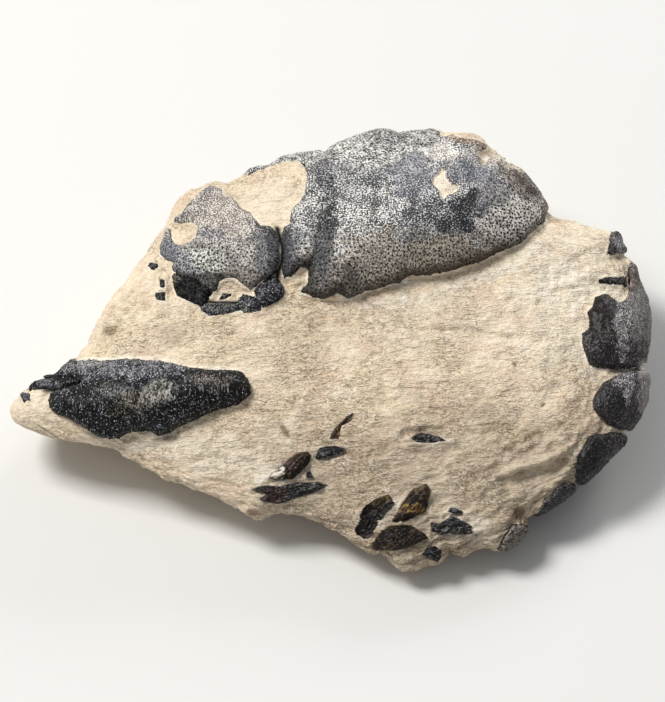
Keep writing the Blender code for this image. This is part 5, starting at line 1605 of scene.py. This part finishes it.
def make_rock_material():
    """Cream stone: tan, pink and grey clouds, fine dark crinkles, sand and brown stains."""
    material, tree, shader = new_material("cream_rock", 0.88)
    clouds = fine_grain(tree, CLOUD_SIZE)
    blush = fine_grain(tree, BLUSH_SIZE, (0.9, 1.0, 1.2))
    patches = fine_grain(tree, PATCH_SIZE, (0.7, 1.2, 1.2))
    flecks = fine_grain(tree, FLECK_SIZE, (0.55, 1.4, 1.4))
    sand = fine_grain(tree, SAND_SIZE, (0.8, 1.2, 1.2))
    folds, away = crinkles(tree, FOLD_SIZE, (0.54, 1.55, 1.55), 3.0)
    low = read(tree, "low")
    rough = read(tree, "rough")

    # Flecks, lines and sand are strong where the clouds are tan, and weak where they are cream
    worn = reach(tree, clouds, 0.42, 0.56, 0.30, 1.0)
    grey = reach(tree, patches, 0.56, 0.68, 0.0, 0.30)
    grey = times(tree, grey, reach(tree, low, 0.0, 1.0, 0.5, 1.4))
    fleck_edge = reach(tree, patches, 0.35, 0.65, 0.38, 0.48)
    fleck_edge = calculate(tree, "ADD", fleck_edge, times(tree, low, 0.04))
    fleck_depth = calculate(tree, "SUBTRACT", fleck_edge, flecks)
    line_strength = reach(tree, patches, 0.40, 0.54, 1.0, 0.05)
    line_strength = calculate(tree, "ADD", line_strength, times(tree, low, 0.30))
    lines = times(tree, reach(tree, away, 0.0, 0.028, 1.0, 0.0), line_strength)
    lines = times(tree, lines, worn)
    sandy = times(tree, reach(tree, patches, 0.40, 0.58, 1.0, 0.40), worn)

    base = mixed(tree, reach(tree, clouds, 0.38, 0.64), ROCK_CREAM, ROCK_TAN)
    for strength, colour in (
        (reach(tree, blush, 0.50, 0.64, 0.0, 0.7), ROCK_BLUSH),
        (reach(tree, blush, 0.48, 0.34, 0.0, 0.5), ROCK_STRAW),
        # Painted shade in the hollows of the rough relief, and painted highlight on its tops
        (reach(tree, rough, -0.05, -0.75, 0.0, 0.50), ROCK_SHADE),
        (reach(tree, rough, 0.25, 0.90, 0.0, 0.30), ROCK_PALE),
        # Darker low down, partly painted shade of the face that turns down
        (times(tree, low, 0.46), ROCK_LOW_SHADE),
        (grey, ROCK_GREY),
        (reach(tree, folds, 0.55, 0.70, 0.0, 0.30), ROCK_PALE),
        (times(tree, reach(tree, fleck_depth, 0.0, 0.04, 0.0, 0.66), worn), ROCK_FLECK),
        (lines, ROCK_LINE),
        (times(tree, reach(tree, sand, 0.47, 0.37, 0.0, 0.56), sandy), ROCK_SPECK),
        (times(tree, reach(tree, sand, 0.54, 0.62, 0.0, 0.56), sandy), ROCK_PALE),
        # Paler rock, partly painted light
        (read(tree, "pale_rock_and_light"), ROCK_PALE),
        (times(tree, read(tree, "bare"), 0.40), ROCK_BARE),
        (times(tree, read(tree, "stain"), 0.8), ROCK_STAIN),
        # Painted shadow in the gaps between pieces of shell
        (read(tree, "seam_shadow"), ROCK_SEAM_SHADOW),
    ):
        base = mixed(tree, strength, base, colour)

    heights = calculate(tree, "ADD", folds, times(tree, sand, 0.3))
    heights = calculate(tree, "ADD", heights, times(tree, flecks, 0.4))
    heights = calculate(tree, "SUBTRACT", heights, times(tree, lines, 0.12))
    finish_material(tree, shader, base, heights, 0.8, 0.0010)
    return material


def cells(tree, place, pitch, randomness):
    """A scatter of dots a pitch apart, in millimetres: the distance from the nearest, in pitches,
    and its own number."""
    settings = {"Vector": place, "Scale": 1.0 / pitch, "Randomness": randomness}
    node = add(tree, "ShaderNodeTexVoronoi", settings, voronoi_dimensions="2D")
    number = add(tree, "ShaderNodeSeparateColor", {0: node.outputs["Color"]}).outputs[0]
    return node.outputs["Distance"], number


def ramp(tree, value, edge, softness):
    """0 well below an edge, 1 well above it."""
    over = calculate(tree, "DIVIDE", calculate(tree, "SUBTRACT", value, edge), softness)
    return add(tree, "ShaderNodeMath", {0: over, 1: 0.5}, use_clamp=True).outputs[0]


def mixed_value(tree, factor, first, second):
    return add(tree, "ShaderNodeMix", {0: factor, 2: first, 3: second}).outputs[0]


def flat_noise(tree, place, size, detail, roughness):
    """Uneven values about 0.5 on the drawing, with a size in millimetres."""
    settings = {"Vector": place, "Scale": 1.0 / size, "Detail": detail, "Roughness": roughness}
    return add(tree, "ShaderNodeTexNoise", settings, noise_dimensions="2D").outputs[0]


def cloudy_share(tree, place, share, size, strength):
    """The share of dark with soft clouds added to it."""
    noise = flat_noise(tree, place, size, 3.0, 0.6)
    return calculate(tree, "ADD", share, reach(tree, noise, 0.36, 0.64, strength, -strength))


def salt_and_pepper(tree, place, share, size):
    """Fine light and dark grains, more of them dark where the share of dark is high."""
    noise = flat_noise(tree, place, size, 1.0, 0.5)
    edge = reach(tree, share, 0.0, 1.0, 0.30, 0.70)
    return ramp(tree, noise, edge, GRAIN_SOFTNESS)


def uneven(tree, size, number, spread):
    """A dot's size, larger or smaller by the dot's own number."""
    return calculate(tree, "ADD", size, reach(tree, number, 0.0, 1.0, -spread, spread))


def make_pitted_pattern():
    """A group: the light of the shield's skin, from fine grains, round pits in a pale net, and
    drawn-out pale granules on the crest, partly painted highlight on raised grains."""
    values = ["Share", "Pitted", "Pits", "Crest"]
    group, given = new_group("pitted_pattern", ["Place"], values, "Light")
    share = cloudy_share(group, given["Place"], given["Share"], 2.6, 0.16)
    fine = salt_and_pepper(group, given["Place"], share, GRAIN_SIZE)
    distance, number = cells(group, given["Place"], PIT_PITCH, 0.80)
    net = ramp(group, distance, uneven(group, given["Pits"], number, 0.06), 0.08)
    net = times(group, net, mixed_value(group, 0.72, 1.0, fine))
    turn = {"Vector": given["Place"], "Rotation": (0.0, 0.0, math.radians(GRANULE_ANGLE))}
    squeeze = {"Vector": add(group, "ShaderNodeMapping", turn).outputs[0], "Scale": GRANULE_SQUEEZE}
    place = add(group, "ShaderNodeMapping", squeeze).outputs[0]
    distance, number = cells(group, place, GRANULE_PITCH, 0.9)
    size = uneven(group, reach(group, share, 0.0, 1.0, 0.66, 0.16), number, 0.12)
    granules = calculate(group, "SUBTRACT", 1.0, ramp(group, distance, size, DOT_SOFTNESS))
    granules = mixed_value(group, 0.35, granules, fine)
    light = mixed_value(group, given["Pitted"], fine, net)
    light = mixed_value(group, given["Crest"], light, granules)
    add(group, "NodeGroupOutput", {"Light": light})
    return group


def make_beaded_pattern():
    """A group: the light of dark skin, cloudy and finely grained, with sparse bright grains."""
    group, given = new_group("beaded_pattern", ["Place"], ["Share"], "Light")
    share = cloudy_share(group, given["Place"], given["Share"], 1.6, 0.20)
    fine = salt_and_pepper(group, given["Place"], share, DARK_GRAIN_SIZE)
    distance, number = cells(group, given["Place"], BRIGHT_PITCH, 1.0)
    bright = calculate(group, "SUBTRACT", 1.0, ramp(group, distance, 0.24, DOT_SOFTNESS))
    rare = reach(group, given["Share"], 0.4, 1.0, 0.84, 0.95)
    bright = times(group, bright, ramp(group, number, rare, DOT_SOFTNESS))
    light = calculate(group, "MAXIMUM", bright, times(group, fine, 0.32))
    add(group, "NodeGroupOutput", {"Light": light})
    return group


def make_shell_material(name, roughness, gloss, speck_size, speck_light, pattern=None):
    """Fossil shell: its pale and dark colours mixed by its pattern and by the light that the mesh
    carries, with fine specks over both. The pattern reads masks with the names of its inputs."""
    material, tree, shader = new_material(name, roughness, gloss)
    specks = fine_grain(tree, speck_size)
    light = reach(tree, specks, 0.36, 0.64, -0.12, speck_light)
    light = calculate(tree, "ADD", read(tree, "light"), light)
    height = specks
    if pattern:
        node = add(tree, "ShaderNodeGroup", node_tree=pattern)
        tree.links.new(read(tree, "place", "Vector"), node.inputs["Place"])
        for socket in list(node.inputs)[1:]:
            tree.links.new(read(tree, socket.name.lower()), socket)
        light = calculate(tree, "ADD", light, node.outputs["Light"])
        height = calculate(tree, "ADD", node.outputs["Light"], specks)
    light = add(tree, "ShaderNodeMath", {0: light, 1: 0.0}, use_clamp=True).outputs[0]
    base = mixed(tree, light, read(tree, "dark", "Color"), read(tree, "pale", "Color"))
    finish_material(tree, shader, base, height, 0.5, 0.00012)
    return material


def make_materials():
    """The five materials: roughness, gloss, size of the specks in metres, and their light."""
    pitted = make_pitted_pattern()
    beaded = make_beaded_pattern()
    return {
        "rock": make_rock_material(),
        "shield": make_shell_material("grey_shield", 0.62, 0.20, 0.00030, 0.12, pitted),
        "claw": make_shell_material("black_claw_shell", 0.46, 0.16, 0.00030, 0.03, beaded),
        "tail": make_shell_material("brown_tail_shell", 0.40, 0.26, 0.00036, 0.08, beaded),
        "leg": make_shell_material("brown_leg_shell", 0.42, 0.22, 0.00030, 0.08),
    }


# ---------------------------------------------------------------------------
# Floor, light and camera
# ---------------------------------------------------------------------------

# The camera, in metres: its distance, how much it sees the long way there, and where its view
# starts and ends. The sensor is in millimetres.
CAMERA_DISTANCE = 2.5
FRAME_HEIGHT = 0.1404
CLIP = (0.05, 20.0)
SENSOR_WIDTH = 36.0

# Points that the camera and the lights face: u, v and the height over the slanted plane
AIM = (0.5, -0.2, 5.0)
LIT_POINT = (0.0, 0.0, 5.0)

# Lamps: name, direction, distance and size in metres, power in watts and colour
LIGHTS = [
    ("key_light", (-0.55, 0.12, 0.90), 1.3, 0.45, 16.5, (1.0, 0.99, 0.97)),
    ("back_light", (0.55, 0.90, 0.50), 1.4, 0.5, 6.0, (1.0, 1.0, 1.0)),
]
SKY_COLOUR = (0.95, 0.97, 1.0, 1.0)
SKY_STRENGTH = 0.34
FLOOR_HALF = 3.0
FLOOR_COLOUR = paint(224, 223, 220)


def plane_point(u, v, forward):
    """A place over the slanted drawing plane, in metres in the part's own frame."""
    y = v * math.sin(PLANE_TILT) - forward * math.cos(PLANE_TILT)
    z = v * math.cos(PLANE_TILT) + forward * math.sin(PLANE_TILT)
    return (Vector((u, y, z)) + Vector(ORIGIN_SHIFT)) * MM


def aim_at(thing, target):
    thing.rotation_euler = (target - thing.location).to_track_quat("-Z", "Y").to_euler()


def make_floor():
    mesh = bpy.data.meshes.new("floor")
    signs = ((-1, -1), (1, -1), (1, 1), (-1, 1))
    mesh.from_pydata([(x * FLOOR_HALF, y * FLOOR_HALF, 0.0) for x, y in signs], [], [(0, 1, 2, 3)])
    material, _, shader = new_material("pale_floor", 0.8)
    shader.inputs["Base Color"].default_value = FLOOR_COLOUR
    finish_piece("floor", mesh, material)


def make_light(name, direction, distance, size, power, colour):
    target = plane_point(*LIT_POINT)
    light = bpy.data.lights.new(name, "AREA")
    light.size = size
    light.energy = power
    light.color = colour
    lamp = bpy.data.objects.new(name, light)
    lamp.location = target + Vector(direction).normalized() * distance
    aim_at(lamp, target)
    bpy.context.scene.collection.objects.link(lamp)


def make_camera():
    lens = bpy.data.cameras.new("camera")
    lens.sensor_width = SENSOR_WIDTH
    lens.lens = SENSOR_WIDTH * CAMERA_DISTANCE / FRAME_HEIGHT
    lens.clip_start, lens.clip_end = CLIP
    camera = bpy.data.objects.new("camera", lens)
    target = plane_point(*AIM)
    away = Vector((0.0, -math.cos(PLANE_TILT), math.sin(PLANE_TILT)))
    camera.location = target + CAMERA_DISTANCE * away
    aim_at(camera, target)
    bpy.context.scene.collection.objects.link(camera)
    bpy.context.scene.camera = camera


def make_sky():
    world = bpy.data.worlds.new("studio")
    world.use_nodes = True
    sky = world.node_tree.nodes["Background"]
    sky.inputs["Color"].default_value = SKY_COLOUR
    sky.inputs["Strength"].default_value = SKY_STRENGTH
    bpy.context.scene.world = world


def make_stage():
    """A pale floor, soft light from two lamps and the sky, and the camera."""
    bpy.context.scene.view_settings.view_transform = "Standard"
    make_floor()
    for light in LIGHTS:
        make_light(*light)
    make_sky()
    make_camera()


def main():
    materials = make_materials()
    make_rock(materials["rock"])
    for index, shell in enumerate(SHELLS):
        make_shell(shell, SHELL_SEED + 3 * index, materials)
    make_stage()


main()
